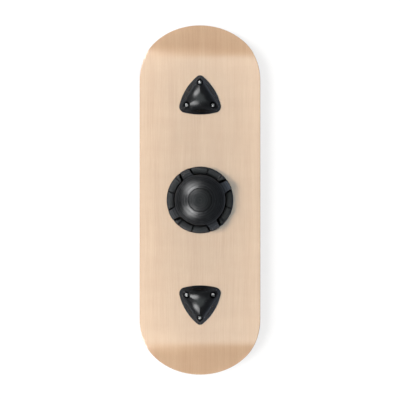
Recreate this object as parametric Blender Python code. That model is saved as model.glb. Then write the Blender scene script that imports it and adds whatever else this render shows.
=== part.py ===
"""A wobble board: a plywood deck with raised ends on a turning three-height dome.

Metres, +Z up. The board lies along X and stands on the floor, z = 0, on the crown of its dome.
The dome slides and turns on a bolt along the Z axis, so the origin lies on that axis.
"""

import math

import bmesh
import bpy
from mathutils import Matrix, Vector

GAP = 0.0003
EPS = 0.001
SHARP_ANGLE = math.radians(32)

DECK_LENGTH = 0.811
DECK_WIDTH = 0.276
DECK_THICKNESS = 0.012
UNDERSIDE_Z = 0.062
KICK_ANGLE = math.radians(23)
KICK_LENGTH = 0.050
BEND_RADIUS = 0.110
EDGE_ROUND = 0.0016
END_STEPS = 18
BEND_STEPS = 6

GRIP_THICKNESS = 0.0010
GRIP_SIDE_INSET = 0.0045
GRIP_END_INSET = 0.0075

LUG_COUNT = 4
LUG_ANGLE = math.radians(62)
LUG_HALF_WIDTH = 0.0112
LUG_FILLET = 0.0040
LUG_CORNER = 0.0012

RING_RADIUS = 0.076
RING_INNER_RADIUS = 0.0600
RING_CHAMFER = 0.0026
RING_PLATE = 0.0040
STEP_TOP_Z = 0.039
STEP_DROP = 0.006
SLOT_STEP = 2.9
SLEEVE_RADII = (0.0165, 0.0195)
SLEEVE_END_Z = 0.040

DOME_CURVE = 0.100
DOME_BODY_RADIUS = 0.0565
DOME_WALL = 0.005
DOME_EDGE_ROUND = 0.0012
DOME_FLOOR_Z = 0.011
DOME_FLOOR_RADIUS = 0.034
DOME_RADII = (0.036, 0.046, 0.0535)
SKIRT_RADIUS = 0.0560
SKIRT_TOP_Z = 0.0455
HUB_RADIUS = 0.016
HUB_BORE = 0.013
HUB_TOP_Z = 0.045
HUB_FLANGE_Z = 0.041
RIB_COUNT = 8
RIB_THICKNESS = 0.003
RIB_TOP_Z = 0.040
RIB_INNER_TOP_Z = 0.026
RIB_STEP_RADIUS = 0.0210

PAD_RADIUS = 0.0259
PAD_BACK_Z = 0.0063
CONTACT_RADIUS = 0.009

BOLT_SHOULDER = 0.0050
BOLT_THREAD = 0.0037
BOLT_HEAD_RADIUS = 0.0080
BOLT_HEAD_Z = (0.0187, 0.0227)
SOCKET_RADIUS = 0.0028
SOCKET_DEPTH = 0.0025
WASHER_THICKNESS = 0.0013
WASHER_BORE = 0.0053
BOLT_WASHER_RADIUS = 0.0115
THRUST_WASHER_RADIUS = 0.0120
SPRING_RADIUS = 0.0092
SPRING_WIRE = 0.0015
SPRING_TURNS = 4.5
NUT_FLANGE_RADIUS = 0.0102
NUT_FLANGE_THICKNESS = 0.0015
NUT_BARREL_RADIUS = 0.0050
NUT_BORE = 0.0040

FOOT_BASE_X = 0.1952
FOOT_HALF_WIDTH = 0.0475
FOOT_APEX_ROUND = 0.0105
FOOT_CORNER_ROUND = 0.014
FOOT_TURNS = (40, 77, 166)
FOOT_RIM = 0.0015
FOOT_FLANGE_INSET = 0.0072
FOOT_FLANGE_HEIGHT = 0.0085
FOOT_CAP = 0.0145
FOOT_CAP_SCALES = (0.92, 0.8, 0.64, 0.45, 0.2)
FOOT_WALL = 0.004
FOOT_HOLLOW = ((0.0035, 1), (0.008, 0.86), (0.015, 0.5), (0.018, 0.2))
FOOT_CENTRE_X = 0.233

SCREW_HEAD_RADIUS = 0.0048
SCREW_HEAD_HEIGHT = 0.0031
SCREW_SHANK = 0.0020
SCREW_POINT = 0.003
SCREW_TIP_Z = 0.0708
RECESS_REACH = 0.0023
RECESS_HALF = 0.0005
RECESS_DEPTH = 0.0017
COUNTERBORE = 0.0070
BOSS_WALL = 0.003
FOOT_SEAT = 0.006
FOOT_SCREWS = ((0.2676, 0.0), (0.2162, 0.0298), (0.2162, -0.0298))
RING_SCREW_RADIUS = 0.040
RING_SCREW_COUNT = 4

KICK_SPAN = BEND_RADIUS * math.sin(KICK_ANGLE) + KICK_LENGTH * math.cos(KICK_ANGLE)
FLAT_HALF_LENGTH = DECK_LENGTH / 2 - KICK_SPAN
BLANK_HALF_LENGTH = FLAT_HALF_LENGTH + BEND_RADIUS * KICK_ANGLE + KICK_LENGTH
DECK_TOP_Z = UNDERSIDE_Z + DECK_THICKNESS
RING_BACK_Z = UNDERSIDE_Z - GAP
RING_FACE_Z = RING_BACK_Z - RING_PLATE
SPHERE_Z = math.sqrt(DOME_CURVE ** 2 - CONTACT_RADIUS ** 2)


def clear_scene():
    for item in list(bpy.data.objects):
        bpy.data.objects.remove(item, do_unlink=True)


def material(name, colour, roughness, metallic=0.0):
    made = bpy.data.materials.new(name)
    made.use_nodes = True
    shader = made.node_tree.nodes["Principled BSDF"]
    shader.inputs["Base Color"].default_value = (*colour, 1)
    shader.inputs["Roughness"].default_value = roughness
    shader.inputs["Metallic"].default_value = metallic
    return made


def new_object(name, bm, finish=None, parent=None, smooth=True):
    """One closed body from a bmesh, shaded smooth but for its real edges."""
    bmesh.ops.recalc_face_normals(bm, faces=bm.faces)
    mesh = bpy.data.meshes.new(name)
    bm.to_mesh(mesh)
    bm.free()
    if smooth:
        mesh.shade_smooth()
        mesh.set_sharp_from_angle(angle=SHARP_ANGLE)
    made = bpy.data.objects.new(name, mesh)
    bpy.context.collection.objects.link(made)
    made.parent = parent
    if finish:
        mesh.materials.append(finish)
    return made


def new_empty(name, parent=None):
    made = bpy.data.objects.new(name, None)
    bpy.context.collection.objects.link(made)
    made.parent = parent
    return made


def combine(target, other, operation):
    """A Boolean of target with other, which stays in the file as a wire guide."""
    other.hide_render = True
    other.display_type = "WIRE"
    step = target.modifiers.new(other.name, "BOOLEAN")
    step.operation = operation
    step.solver = "EXACT"
    step.object = other


def loft(bm, rings, caps=True):
    """Quads between rings of points, with a face over the first and the last ring."""
    rows = [[bm.verts.new(point) for point in ring] for ring in rings]
    count = len(rows[0])
    for low, high in zip(rows, rows[1:]):
        for i in range(count):
            j = (i + 1) % count
            bm.faces.new((low[i], low[j], high[j], high[i]))
    if caps:
        bm.faces.new(rows[0][::-1])
        bm.faces.new(rows[-1])
    return rows


def turned(bm, profile, segments):
    """A closed profile of (radius, z) points turned about Z; radius 0 makes a pole."""
    rows = []
    for radius, z in profile:
        if radius == 0:
            rows.append([bm.verts.new((0, 0, z))] * segments)
            continue
        angles = [math.tau * i / segments for i in range(segments)]
        rows.append([bm.verts.new((radius * math.cos(a), radius * math.sin(a), z)) for a in angles])
    for low, high in zip(rows, rows[1:] + rows[:1]):
        for i in range(segments):
            j = (i + 1) % segments
            corners = [low[i], low[j], high[j], high[i]]
            corners = [v for k, v in enumerate(corners) if v not in corners[:k]]
            if len(corners) > 2:
                bm.faces.new(corners)


def turned_object(name, profile, segments, finish=None, parent=None, centre=(0, 0)):
    bm = bmesh.new()
    turned(bm, profile, segments)
    bmesh.ops.translate(bm, verts=bm.verts, vec=(*centre, 0))
    return new_object(name, bm, finish, parent)


def dome_z(radius, curve=DOME_CURVE):
    """Height of the dome's outside at a radius, or of its inside with a smaller curve."""
    return SPHERE_Z - math.sqrt(curve ** 2 - radius ** 2)


def bent(along, across, height):
    """A point of the flat pressed blank, put where the bent ends take it."""
    side = math.copysign(1, along)
    past = abs(along) - FLAT_HALF_LENGTH
    if past <= 0:
        return Vector((along, across, UNDERSIDE_Z + height))
    turn = min(past / BEND_RADIUS, KICK_ANGLE)
    rest = past - turn * BEND_RADIUS
    x = FLAT_HALF_LENGTH + (BEND_RADIUS - height) * math.sin(turn) + rest * math.cos(turn)
    z = BEND_RADIUS - (BEND_RADIUS - height) * math.cos(turn) + rest * math.sin(turn)
    return Vector((side * x, across, UNDERSIDE_Z + z))


def bent_plate(half_length, half_width, bottom, top):
    """A stadium-shaped sheet between two heights over the underside, with bent ends."""
    middle = half_length - half_width
    turns = [math.pi / 2 * i / END_STEPS for i in range(END_STEPS)]
    stations = [(middle + half_width * math.sin(turn), half_width * math.cos(turn)) for turn in turns]
    bend = [FLAT_HALF_LENGTH + BEND_RADIUS * KICK_ANGLE * i / BEND_STEPS for i in range(BEND_STEPS + 1)]
    stations += [(s, math.sqrt(half_width ** 2 - max(s - middle, 0) ** 2)) for s in bend]
    stations = sorted(stations)
    stations = [(-s, w) for s, w in reversed(stations)] + stations
    bm = bmesh.new()
    rings = []
    for along, width in stations:
        corners = ((-width, bottom), (width, bottom), (width, top), (-width, top))
        rings.append([bent(along, across, height) for across, height in corners])
    rows = loft(bm, rings, caps=False)
    for row, end in ((rows[0], -half_length), (rows[-1], half_length)):
        low = bm.verts.new(bent(end, 0, bottom))
        high = bm.verts.new(bent(end, 0, top))
        bm.faces.new((row[0], row[1], low))
        bm.faces.new((row[2], row[3], high))
        bm.faces.new((row[1], row[2], high, low))
        bm.faces.new((row[3], row[0], low, high))
    return bm


def screw_holes():
    """Blind holes in the deck's underside for the foot and ring screws."""
    bm = bmesh.new()
    for x, y in screw_places():
        hole = bmesh.new()
        radius = SCREW_SHANK + GAP
        end = SCREW_TIP_Z + 2 * GAP
        turned(hole, [(0, UNDERSIDE_Z - EPS), (radius, UNDERSIDE_Z - EPS), (radius, end), (0, end)], 12)
        bmesh.ops.translate(hole, verts=hole.verts, vec=(x, y, 0))
        made = bpy.data.meshes.new("hole")
        hole.to_mesh(made)
        hole.free()
        bm.from_mesh(made)
    return new_object("screw_hole_cutter", bm)


def screw_places():
    places = [(side * x, y) for side in (1, -1) for x, y in FOOT_SCREWS]
    return places + ring_screw_places()


def ring_screw_places():
    turns = [LUG_ANGLE + math.tau * i / RING_SCREW_COUNT for i in range(RING_SCREW_COUNT)]
    return [(RING_SCREW_RADIUS * math.cos(a), RING_SCREW_RADIUS * math.sin(a)) for a in turns]


def deck():
    wood = material("birch_plywood", (0.66, 0.47, 0.32), 0.45)
    bm = bent_plate(BLANK_HALF_LENGTH, DECK_WIDTH / 2, 0, DECK_THICKNESS)
    board = new_object("deck_plywood", bm, wood, smooth=False)
    rounding = board.modifiers.new("rounded_edge", "BEVEL")
    rounding.width = EDGE_ROUND
    rounding.segments = 2
    rounding.limit_method = "ANGLE"
    rounding.angle_limit = math.radians(50)
    combine(board, screw_holes(), "DIFFERENCE")
    sink = DECK_TOP_Z - NUT_FLANGE_THICKNESS - 2 * GAP
    bore = NUT_BARREL_RADIUS + GAP
    wide = NUT_FLANGE_RADIUS + GAP
    profile = [(0, UNDERSIDE_Z - EPS), (bore, UNDERSIDE_Z - EPS), (bore, sink),
               (wide, sink), (wide, DECK_TOP_Z + EPS), (0, DECK_TOP_Z + EPS)]
    combine(board, turned_object("nut_hole_cutter", profile, 32), "DIFFERENCE")


def grip_sheet():
    grit = material("black_grit", (0.03, 0.03, 0.032), 0.9)
    bottom = DECK_THICKNESS + GAP
    half_length = BLANK_HALF_LENGTH - GRIP_END_INSET
    half_width = DECK_WIDTH / 2 - GRIP_SIDE_INSET
    bm = bent_plate(half_length, half_width, bottom, bottom + GRIP_THICKNESS)
    new_object("grip_sheet", bm, grit, smooth=False)


def step_stations():
    """Degrees behind a lug's centre, at the ring's inside and outside, with the step found there.

    Each run starts with the narrow slot before its lug, and the lug has a wider pocket behind it.
    """
    edges = [(-13.6, -11.6, 2), (-13.4, -11.4, SLOT_STEP), (-10.8, -8.8, SLOT_STEP), (-10.6, -8.6, 0)]
    edges += [(angle, angle, 0) for angle in (-5, 0, 5)]
    edges += [(10.4, 8.4, 0), (10.6, 8.6, SLOT_STEP), (16.2, 11.8, SLOT_STEP), (16.4, 12.0, 0)]
    edges += [(19.2, 17.6, 0), (21.4, 22.4, 1)]
    edges += [(angle, angle, 1) for angle in range(27, 42, 6)]
    edges += [(46.6, 45.6, 1), (46.8, 45.8, SLOT_STEP), (48.4, 47.4, SLOT_STEP), (48.6, 47.6, 2)]
    edges += [(angle, angle, 2) for angle in range(54, 73, 6)]
    return edges


def ring_profile(inner_angle, outer_angle, step):
    """Section of the step ring, whose teeth end at skewed angles."""
    top = STEP_TOP_Z + STEP_DROP * step
    inner, outer = SLEEVE_RADII
    mean = (inner_angle + outer_angle) / 2
    points = [
        (BOLT_THREAD + 2 * GAP, mean, RING_FACE_Z),
        (inner, mean, RING_FACE_Z),
        (inner, mean, SLEEVE_END_Z),
        (outer, mean, SLEEVE_END_Z),
        (outer, mean, RING_FACE_Z),
        (RING_INNER_RADIUS, inner_angle, RING_FACE_Z),
        (RING_INNER_RADIUS, inner_angle, top),
        (RING_RADIUS - RING_CHAMFER, outer_angle, top),
        (RING_RADIUS, outer_angle, top + RING_CHAMFER),
        (RING_RADIUS, outer_angle, RING_BACK_Z),
        (BOLT_THREAD + 2 * GAP, mean, RING_BACK_Z),
    ]
    return [(r * math.cos(a), r * math.sin(a), z) for r, a, z in points]


def step_ring():
    """Four runs of three steps that go down as the angle falls, round a guide sleeve."""
    plastic = material("ring_plastic", (0.035, 0.036, 0.038), 0.45)
    rings = []
    for lug in range(LUG_COUNT):
        centre = LUG_ANGLE - math.tau * lug / LUG_COUNT
        for inner, outer, step in step_stations():
            angles = (centre - math.radians(inner), centre - math.radians(outer))
            rings.append(ring_profile(*angles, step))
    bm = bmesh.new()
    loft(bm, rings + rings[:1], caps=False)
    bmesh.ops.remove_doubles(bm, verts=bm.verts, dist=1e-6)
    ring = new_object("step_ring", bm, plastic)
    for i, (x, y) in enumerate(ring_screw_places(), 1):
        reach = ((0, RING_FACE_Z - EPS), (SCREW_SHANK + 2 * GAP, RING_FACE_Z - EPS),
                 (SCREW_SHANK + 2 * GAP, RING_BACK_Z + EPS), (0, RING_BACK_Z + EPS))
        combine(ring, turned_object(f"ring_hole_cutter_{i}", reach, 12, centre=(x, y)), "DIFFERENCE")


def lug_outline():
    """Half of a lug's plan outline as (angle, radius), from its middle to the notch's middle."""
    points = []
    end = math.asin((LUG_HALF_WIDTH - LUG_CORNER) / RING_RADIUS)
    points += [(end * i, RING_RADIUS) for i in range(2)]
    points.append((math.asin(LUG_HALF_WIDTH / (RING_RADIUS - LUG_CORNER)), RING_RADIUS - LUG_CORNER))
    across = LUG_HALF_WIDTH + LUG_FILLET
    out = math.sqrt((DOME_BODY_RADIUS + LUG_FILLET) ** 2 - across ** 2)
    finish = math.atan2(across, out)
    for i in range(4):
        turn = math.pi + (math.pi / 2 - finish) * i / 3
        u = across + LUG_FILLET * math.cos(turn)
        v = out + LUG_FILLET * math.sin(turn)
        points.append((math.atan2(u, v), math.hypot(u, v)))
    notch_end = math.pi / LUG_COUNT
    points += [(finish + (notch_end - finish) * i / 4, DOME_BODY_RADIUS) for i in range(1, 5)]
    return points


def dome_outline():
    """The whole outline of the dome seen along Z, as (angle, radius)."""
    half = lug_outline()
    mirrored = [(-angle, radius) for angle, radius in reversed(half[1:-1])]
    turns = [LUG_ANGLE + math.tau * lug / LUG_COUNT for lug in range(LUG_COUNT)]
    return [(turn + angle, radius) for turn in turns for angle, radius in mirrored + half]


def dome_profile(edge):
    """Section of the dome where its outline is at the radius edge."""
    seat = PAD_RADIUS + GAP
    lug_z = STEP_TOP_Z - GAP
    inside = SKIRT_RADIUS - DOME_WALL
    last = edge - DOME_EDGE_ROUND
    outside = [(r, dome_z(r)) for r in (seat, *DOME_RADII, (DOME_RADII[-1] + last) / 2, last)]
    lower = [(r, dome_z(r, DOME_CURVE - DOME_WALL)) for r in (inside, (inside + DOME_FLOOR_RADIUS) / 2)]
    return [
        (HUB_BORE, PAD_BACK_Z + GAP), (seat, PAD_BACK_Z + GAP), *outside,
        (edge, dome_z(last) + DOME_EDGE_ROUND), (edge, lug_z),
        (SKIRT_RADIUS, lug_z), (SKIRT_RADIUS, SKIRT_TOP_Z), (inside, SKIRT_TOP_Z),
        *lower, (DOME_FLOOR_RADIUS, DOME_FLOOR_Z), (HUB_RADIUS, DOME_FLOOR_Z), (HUB_RADIUS, HUB_TOP_Z),
        (WASHER_BORE + GAP, HUB_TOP_Z), (WASHER_BORE + GAP, HUB_FLANGE_Z), (HUB_BORE, HUB_FLANGE_Z),
    ]


def ribs():
    """Radial ribs that tie the hub to the skirt, low near the ring's guide sleeve."""
    bm = bmesh.new()
    reach = SKIRT_RADIUS - DOME_WALL + EPS
    outline = [(HUB_RADIUS - EPS, DOME_FLOOR_Z - EPS), (DOME_FLOOR_RADIUS, DOME_FLOOR_Z - EPS),
               (reach, dome_z(reach, DOME_CURVE - DOME_WALL) - EPS), (reach, RIB_TOP_Z),
               (RIB_STEP_RADIUS, RIB_TOP_Z), (RIB_STEP_RADIUS, RIB_INNER_TOP_Z),
               (HUB_RADIUS - EPS, RIB_INNER_TOP_Z)]
    half = RIB_THICKNESS / 2
    for i in range(RIB_COUNT):
        turn = Matrix.Rotation(LUG_ANGLE + math.tau * (i + 0.5) / RIB_COUNT, 3, "Z")
        loft(bm, [[turn @ Vector((r, y, z)) for r, z in outline] for y in (-half, half)])
    return new_object("rib_guide", bm)


def dome_shell(turn_axis):
    """The hollow dome, with a hub round the bolt and four lugs that stand on the steps."""
    plastic = material("dome_plastic", (0.035, 0.036, 0.038), 0.38)
    rings = []
    for angle, edge in dome_outline():
        rings.append([(r * math.cos(angle), r * math.sin(angle), z) for r, z in dome_profile(edge)])
    bm = bmesh.new()
    loft(bm, rings + rings[:1], caps=False)
    bmesh.ops.remove_doubles(bm, verts=bm.verts, dist=1e-6)
    dome = new_object("dome_shell", bm, plastic, turn_axis)
    combine(dome, ribs(), "UNION")


def crown_pad(turn_axis):
    rubber = material("crown_rubber", (0.028, 0.028, 0.03), 0.55)
    width = PAD_RADIUS - CONTACT_RADIUS
    radii = [CONTACT_RADIUS + width * i / 3 for i in range(4)]
    profile = [(0, 0), *((r, dome_z(r)) for r in radii), (PAD_RADIUS, PAD_BACK_Z), (0, PAD_BACK_Z)]
    turned_object("crown_pad", profile, 48, rubber, turn_axis)


def foot_outline(inset):
    """The rounded triangle of a foot as arcs between directions of its outward normal."""
    first, second, third = (math.radians(angle) for angle in FOOT_TURNS)
    apex, corner = FOOT_APEX_ROUND, FOOT_CORNER_ROUND
    widened = FOOT_HALF_WIDTH - apex * math.sin(first) - corner * (1 - math.sin(second))
    side = widened / (math.sin(second) - math.sin(first))
    base = (FOOT_HALF_WIDTH - corner * (1 - math.sin(third))) / math.sin(third)
    arcs = ((0, first, apex, 3), (first, second, side, 4),
            (second, third, corner, 4), (third, math.pi, base, 2))
    point = Vector((0, 0))
    half = []
    for low, high, radius, steps in arcs:
        centre = point - radius * Vector((math.cos(low), math.sin(low)))
        for i in range(steps):
            normal = low + (high - low) * i / steps
            half.append(centre + (radius - inset) * Vector((math.cos(normal), math.sin(normal))))
        point = centre + radius * Vector((math.cos(high), math.sin(high)))
    half.append(point + Vector((inset, 0)))
    shift = FOOT_BASE_X - point.x
    outline = [Vector((p.x + shift, p.y)) for p in half]
    return outline + [Vector((p.x, -p.y)) for p in reversed(outline[1:-1])]


def foot_ring(inset, height, scale=1.0):
    """The foot's outline at a height off the deck, drawn in, and rounder as it shrinks to the crown."""
    centre = Vector((FOOT_CENTRE_X, 0))
    outline = [p - centre for p in foot_outline(inset)]
    mean = sum(p.length for p in outline) / len(outline)
    shrunk = [(p * scale + p.normalized() * mean * (1 - scale)) * scale + centre for p in outline]
    return [(p.x, p.y, RING_BACK_Z - height) for p in shrunk]


def foot_body():
    rings = [foot_ring(0, 0), foot_ring(0, FOOT_RIM), foot_ring(FOOT_FLANGE_INSET, FOOT_FLANGE_HEIGHT)]
    for scale in FOOT_CAP_SCALES:
        height = FOOT_FLANGE_HEIGHT + FOOT_CAP * (1 - scale ** 2)
        rings.append(foot_ring(FOOT_FLANGE_INSET, height, scale))
    bm = bmesh.new()
    loft(bm, rings)
    return bm


def foot_hollow():
    """The space inside a foot, before its three screw bosses."""
    bm = bmesh.new()
    levels = [foot_ring(FOOT_FLANGE_INSET, height, scale) for height, scale in FOOT_HOLLOW]
    loft(bm, [foot_ring(FOOT_WALL, -EPS), *levels])
    return bm


def foot(name, turn, finish):
    """A hollow stop foot, turned about Z so that its point faces an end of the board."""
    body = new_object(name, foot_body(), finish)
    hollow = new_object(f"{name}_hollow_cutter", foot_hollow())
    guides = [hollow]
    boss = COUNTERBORE + BOSS_WALL
    seat_z = RING_BACK_Z - FOOT_SEAT
    low_z = RING_BACK_Z - FOOT_FLANGE_HEIGHT - FOOT_CAP - EPS
    hole = SCREW_SHANK + 2 * GAP
    combine(body, hollow, "DIFFERENCE")
    for i, place in enumerate(FOOT_SCREWS, 1):
        post = [(0, low_z), (boss, low_z), (boss, UNDERSIDE_Z + 2 * EPS), (0, UNDERSIDE_Z + 2 * EPS)]
        guides.append(turned_object(f"{name}_boss_guide_{i}", post, 16, centre=place))
        combine(hollow, guides[-1], "DIFFERENCE")
        bore = [(0, low_z), (COUNTERBORE, low_z), (COUNTERBORE, seat_z), (hole, seat_z),
                (hole, UNDERSIDE_Z + EPS), (0, UNDERSIDE_Z + EPS)]
        guides.append(turned_object(f"{name}_hole_cutter_{i}", bore, 20, centre=place))
        combine(body, guides[-1], "DIFFERENCE")
    for item in (body, *guides):
        item.rotation_euler.z = turn


def feet():
    gloss = material("foot_plastic", (0.03, 0.031, 0.033), 0.25)
    foot("front_foot", 0, gloss)
    foot("rear_foot", math.pi, gloss)


def screw_mesh(name, seat_z, finish, segments):
    """A pan head screw under the deck, with a crossed recess in its head."""
    face = seat_z - GAP
    top = face - SCREW_HEAD_HEIGHT
    radius = SCREW_HEAD_RADIUS
    dome = [(radius * math.sin(turn), face - SCREW_HEAD_HEIGHT * math.cos(turn) ** 0.6)
            for turn in (math.radians(angle) for angle in (20, 40, 60, 78))]
    profile = [(0, top), *dome, (radius, face), (SCREW_SHANK, face), (SCREW_SHANK, SCREW_TIP_Z - SCREW_POINT),
               (SCREW_SHANK / 5, SCREW_TIP_Z), (0, SCREW_TIP_Z)]
    screw = turned_object(name, profile, segments, finish)
    points = []
    for i in range(4):
        quarter = Matrix.Rotation(math.pi / 2 * i, 2)
        points += [quarter @ Vector((RECESS_REACH, side * RECESS_HALF)) for side in (-1, 1)]
        points.append(quarter @ Vector((RECESS_HALF, RECESS_HALF)))
    cross = bmesh.new()
    loft(cross, [[(p.x, p.y, z) for p in points] for z in (top - EPS, top + RECESS_DEPTH)])
    combine(screw, new_object(f"{name}_recess_cutter", cross), "DIFFERENCE")
    return screw


def screws():
    steel = material("screw_steel", (0.62, 0.62, 0.63), 0.3, 1.0)
    number = 0
    for side in (1, -1):
        for x, y in FOOT_SCREWS:
            number += 1
            screw = screw_mesh(f"foot_screw_{number}", RING_BACK_Z - FOOT_SEAT, steel, 16)
            place_screw(screw, side * x, side * y)
    for number, (x, y) in enumerate(ring_screw_places(), 1):
        place_screw(screw_mesh(f"ring_screw_{number}", RING_FACE_Z, steel, 12), x, y)


def place_screw(screw, x, y):
    for item in [screw] + [step.object for step in screw.modifiers]:
        item.location = (x, y, 0)


def bolt_and_nut():
    steel = material("bolt_steel", (0.45, 0.45, 0.46), 0.35, 1.0)
    low, high = BOLT_HEAD_Z
    shoulder_top = RING_FACE_Z - GAP
    thread_top = DECK_TOP_Z - 2 * EPS
    floor = low + SOCKET_DEPTH
    profile = [(0, floor), (SOCKET_RADIUS, floor), (SOCKET_RADIUS, low), (BOLT_HEAD_RADIUS - EPS, low),
               (BOLT_HEAD_RADIUS, low + EPS), (BOLT_HEAD_RADIUS, high), (BOLT_SHOULDER, high),
               (BOLT_SHOULDER, shoulder_top), (BOLT_THREAD, shoulder_top), (BOLT_THREAD, thread_top),
               (0, thread_top)]
    turned_object("pivot_bolt", profile, 24, steel)
    flange_low = DECK_TOP_Z - NUT_FLANGE_THICKNESS - GAP
    profile = [(NUT_BORE, UNDERSIDE_Z + EPS), (NUT_BARREL_RADIUS, UNDERSIDE_Z + EPS),
               (NUT_BARREL_RADIUS, flange_low), (NUT_FLANGE_RADIUS, flange_low),
               (NUT_FLANGE_RADIUS, flange_low + NUT_FLANGE_THICKNESS),
               (NUT_BORE, flange_low + NUT_FLANGE_THICKNESS)]
    turned_object("tee_nut", profile, 32, steel)


def washer(name, low, radius, finish, parent=None):
    profile = [(WASHER_BORE, low), (radius, low), (radius, low + WASHER_THICKNESS),
               (WASHER_BORE, low + WASHER_THICKNESS)]
    turned_object(name, profile, 32, finish, parent)


def spring(low, high):
    """A compression spring whose wire just clears the washers at z low and high."""
    steel = material("spring_steel", (0.5, 0.5, 0.52), 0.3, 1.0)
    curve = bpy.data.curves.new("dome_spring", "CURVE")
    curve.dimensions = "3D"
    curve.bevel_depth = SPRING_WIRE / 2
    curve.bevel_resolution = 1
    curve.use_fill_caps = True
    curve.materials.append(steel)
    steps = round(SPRING_TURNS * 12)
    line = curve.splines.new("POLY")
    line.points.add(steps)
    first = low + SPRING_WIRE * 0.55
    rise = high - low - SPRING_WIRE * 1.1
    for i in range(steps + 1):
        share = i / steps
        angle = math.tau * SPRING_TURNS * share
        place = (SPRING_RADIUS * math.cos(angle), SPRING_RADIUS * math.sin(angle), first + rise * share)
        line.points[i].co = (*place, 1)
    made = bpy.data.objects.new("dome_spring", curve)
    bpy.context.collection.objects.link(made)


def main():
    clear_scene()
    lift_axis = new_empty("lift_axis")
    turn_axis = new_empty("turn_axis", lift_axis)
    deck()
    grip_sheet()
    step_ring()
    dome_shell(turn_axis)
    crown_pad(turn_axis)
    feet()
    screws()
    bolt_and_nut()
    zinc = material("washer_zinc", (0.55, 0.55, 0.56), 0.35, 1.0)
    bolt_washer_z = BOLT_HEAD_Z[1] + GAP
    thrust_z = HUB_FLANGE_Z - GAP - WASHER_THICKNESS
    washer("bolt_washer", bolt_washer_z, BOLT_WASHER_RADIUS, zinc)
    washer("thrust_washer", thrust_z, THRUST_WASHER_RADIUS, zinc, lift_axis)
    spring(bolt_washer_z + WASHER_THICKNESS + GAP, thrust_z - GAP)


main()
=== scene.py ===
# %% [markdown]
# # A wobble board, dressed
# A wobble board is a plywood deck that a person stands on, while it rocks on one dome. The packed
# model gives every solid its place and its joints, and nothing here moves or resizes it. This file
# adds what a camera sees: finer meshes for the visible pieces, and a made-up material for each finish.
#
# It is laid out like a notebook. Each text cell says what a piece is on the real board, how it could
# be made in Blender, and why it is made this way. Each code cell after it does one step.

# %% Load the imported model
import math
from functools import partialmethod

import bmesh
import bpy
from mathutils import Matrix, Vector


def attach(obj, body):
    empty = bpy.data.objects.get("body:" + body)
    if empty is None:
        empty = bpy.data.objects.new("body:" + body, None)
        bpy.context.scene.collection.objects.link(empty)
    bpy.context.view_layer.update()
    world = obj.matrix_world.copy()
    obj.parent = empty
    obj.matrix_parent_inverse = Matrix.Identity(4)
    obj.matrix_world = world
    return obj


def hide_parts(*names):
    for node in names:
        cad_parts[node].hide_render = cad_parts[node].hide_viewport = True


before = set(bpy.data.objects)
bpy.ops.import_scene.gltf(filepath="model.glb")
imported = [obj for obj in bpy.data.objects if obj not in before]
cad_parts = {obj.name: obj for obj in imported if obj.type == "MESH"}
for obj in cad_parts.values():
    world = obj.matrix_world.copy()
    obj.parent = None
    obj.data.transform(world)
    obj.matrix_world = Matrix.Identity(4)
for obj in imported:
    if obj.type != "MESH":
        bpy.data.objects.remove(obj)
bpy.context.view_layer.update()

# %% [markdown]
# ## Sizes
# The board lies along X on the floor z = 0, standing on the crown of its dome, so its underside is
# 62 mm up. The sizes are those of the solids, in metres. A finer mesh that uses the same numbers
# fits its solid without any moving about.

# %% Sizes that several pieces or finishes share
GAP = 0.0003  # air left between neighbouring pieces
UNDERSIDE_Z = 0.062
BACK_Z = UNDERSIDE_Z - GAP
DECK_THICKNESS = 0.012
DECK_LENGTH = 0.811
DECK_HALF_WIDTH = 0.138
KICK_ANGLE = math.radians(23)
KICK_LENGTH = 0.050
BEND_RADIUS = 0.110
KICK_REACH = BEND_RADIUS * math.sin(KICK_ANGLE) + KICK_LENGTH * math.cos(KICK_ANGLE)
FLAT_HALF_LENGTH = DECK_LENGTH / 2 - KICK_REACH
BLANK_HALF_LENGTH = FLAT_HALF_LENGTH + BEND_RADIUS * KICK_ANGLE + KICK_LENGTH
RING_RADIUS = 0.076
WELL_RADIUS = 0.0070
# (x, y) of the front foot's screws; those of the rear foot are at -x.
FOOT_SCREWS = ((0.2676, 0.0), (0.2162, 0.0298), (0.2162, -0.0298))
print("flat part and blank, mm:", [round(half * 2000) for half in (FLAT_HALF_LENGTH, BLANK_HALF_LENGTH)])

# %% [markdown]
# ## Mesh tools
# Most pieces here are lofts: rings of points, joined by quads. Lathe-turned pieces are lofts too,
# with each ring a circle. Blender's Screw modifier or a Bezier curve could make some of them, but a
# loft in plain code keeps full control of where the edges run, and its result is already a mesh.

# %% Turn points and faces into a piece
SMOOTH_ANGLE = 32


def linked(name, data):
    """A new object of the scene that holds this mesh, lamp or camera."""
    made = bpy.data.objects.new(name, data)
    bpy.context.collection.objects.link(made)
    return made


def piece_with(name, mesh, finish, smooth_angle=SMOOTH_ANGLE):
    """A mesh object, smooth but for its edges over smooth_angle degrees."""
    mesh.shade_smooth()
    mesh.set_sharp_from_angle(angle=math.radians(smooth_angle))
    mesh.materials.clear()
    if finish:
        mesh.materials.append(finish)
    return linked(name, mesh)


def piece_from(name, points, faces, finish=None, smooth_angle=SMOOTH_ANGLE):
    """A mesh object from points and faces, which are all turned to look outwards."""
    mesh = bpy.data.meshes.new(name)
    mesh.from_pydata(points, [], faces)
    outward = bmesh.new()
    outward.from_mesh(mesh)
    bmesh.ops.recalc_face_normals(outward, faces=outward.faces)
    outward.to_mesh(mesh)
    outward.free()
    return piece_with(name, mesh, finish, smooth_angle)


def belongs(piece, body, slot, *nodes):
    """Rides the piece on a body and hides the solids it stands for; the slot is not used."""
    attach(piece, body)
    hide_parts(*nodes)
    print(f"{piece.name}: {len(piece.data.polygons)} faces, rides on {body}")

# %% Loft rings of points
MID_ROUND = 0.3  # how far the middle of a rounded corner lies from both sides, in radii


def polar(radius, angle, *height):
    return (radius * math.cos(angle), radius * math.sin(angle), *height)


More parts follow.
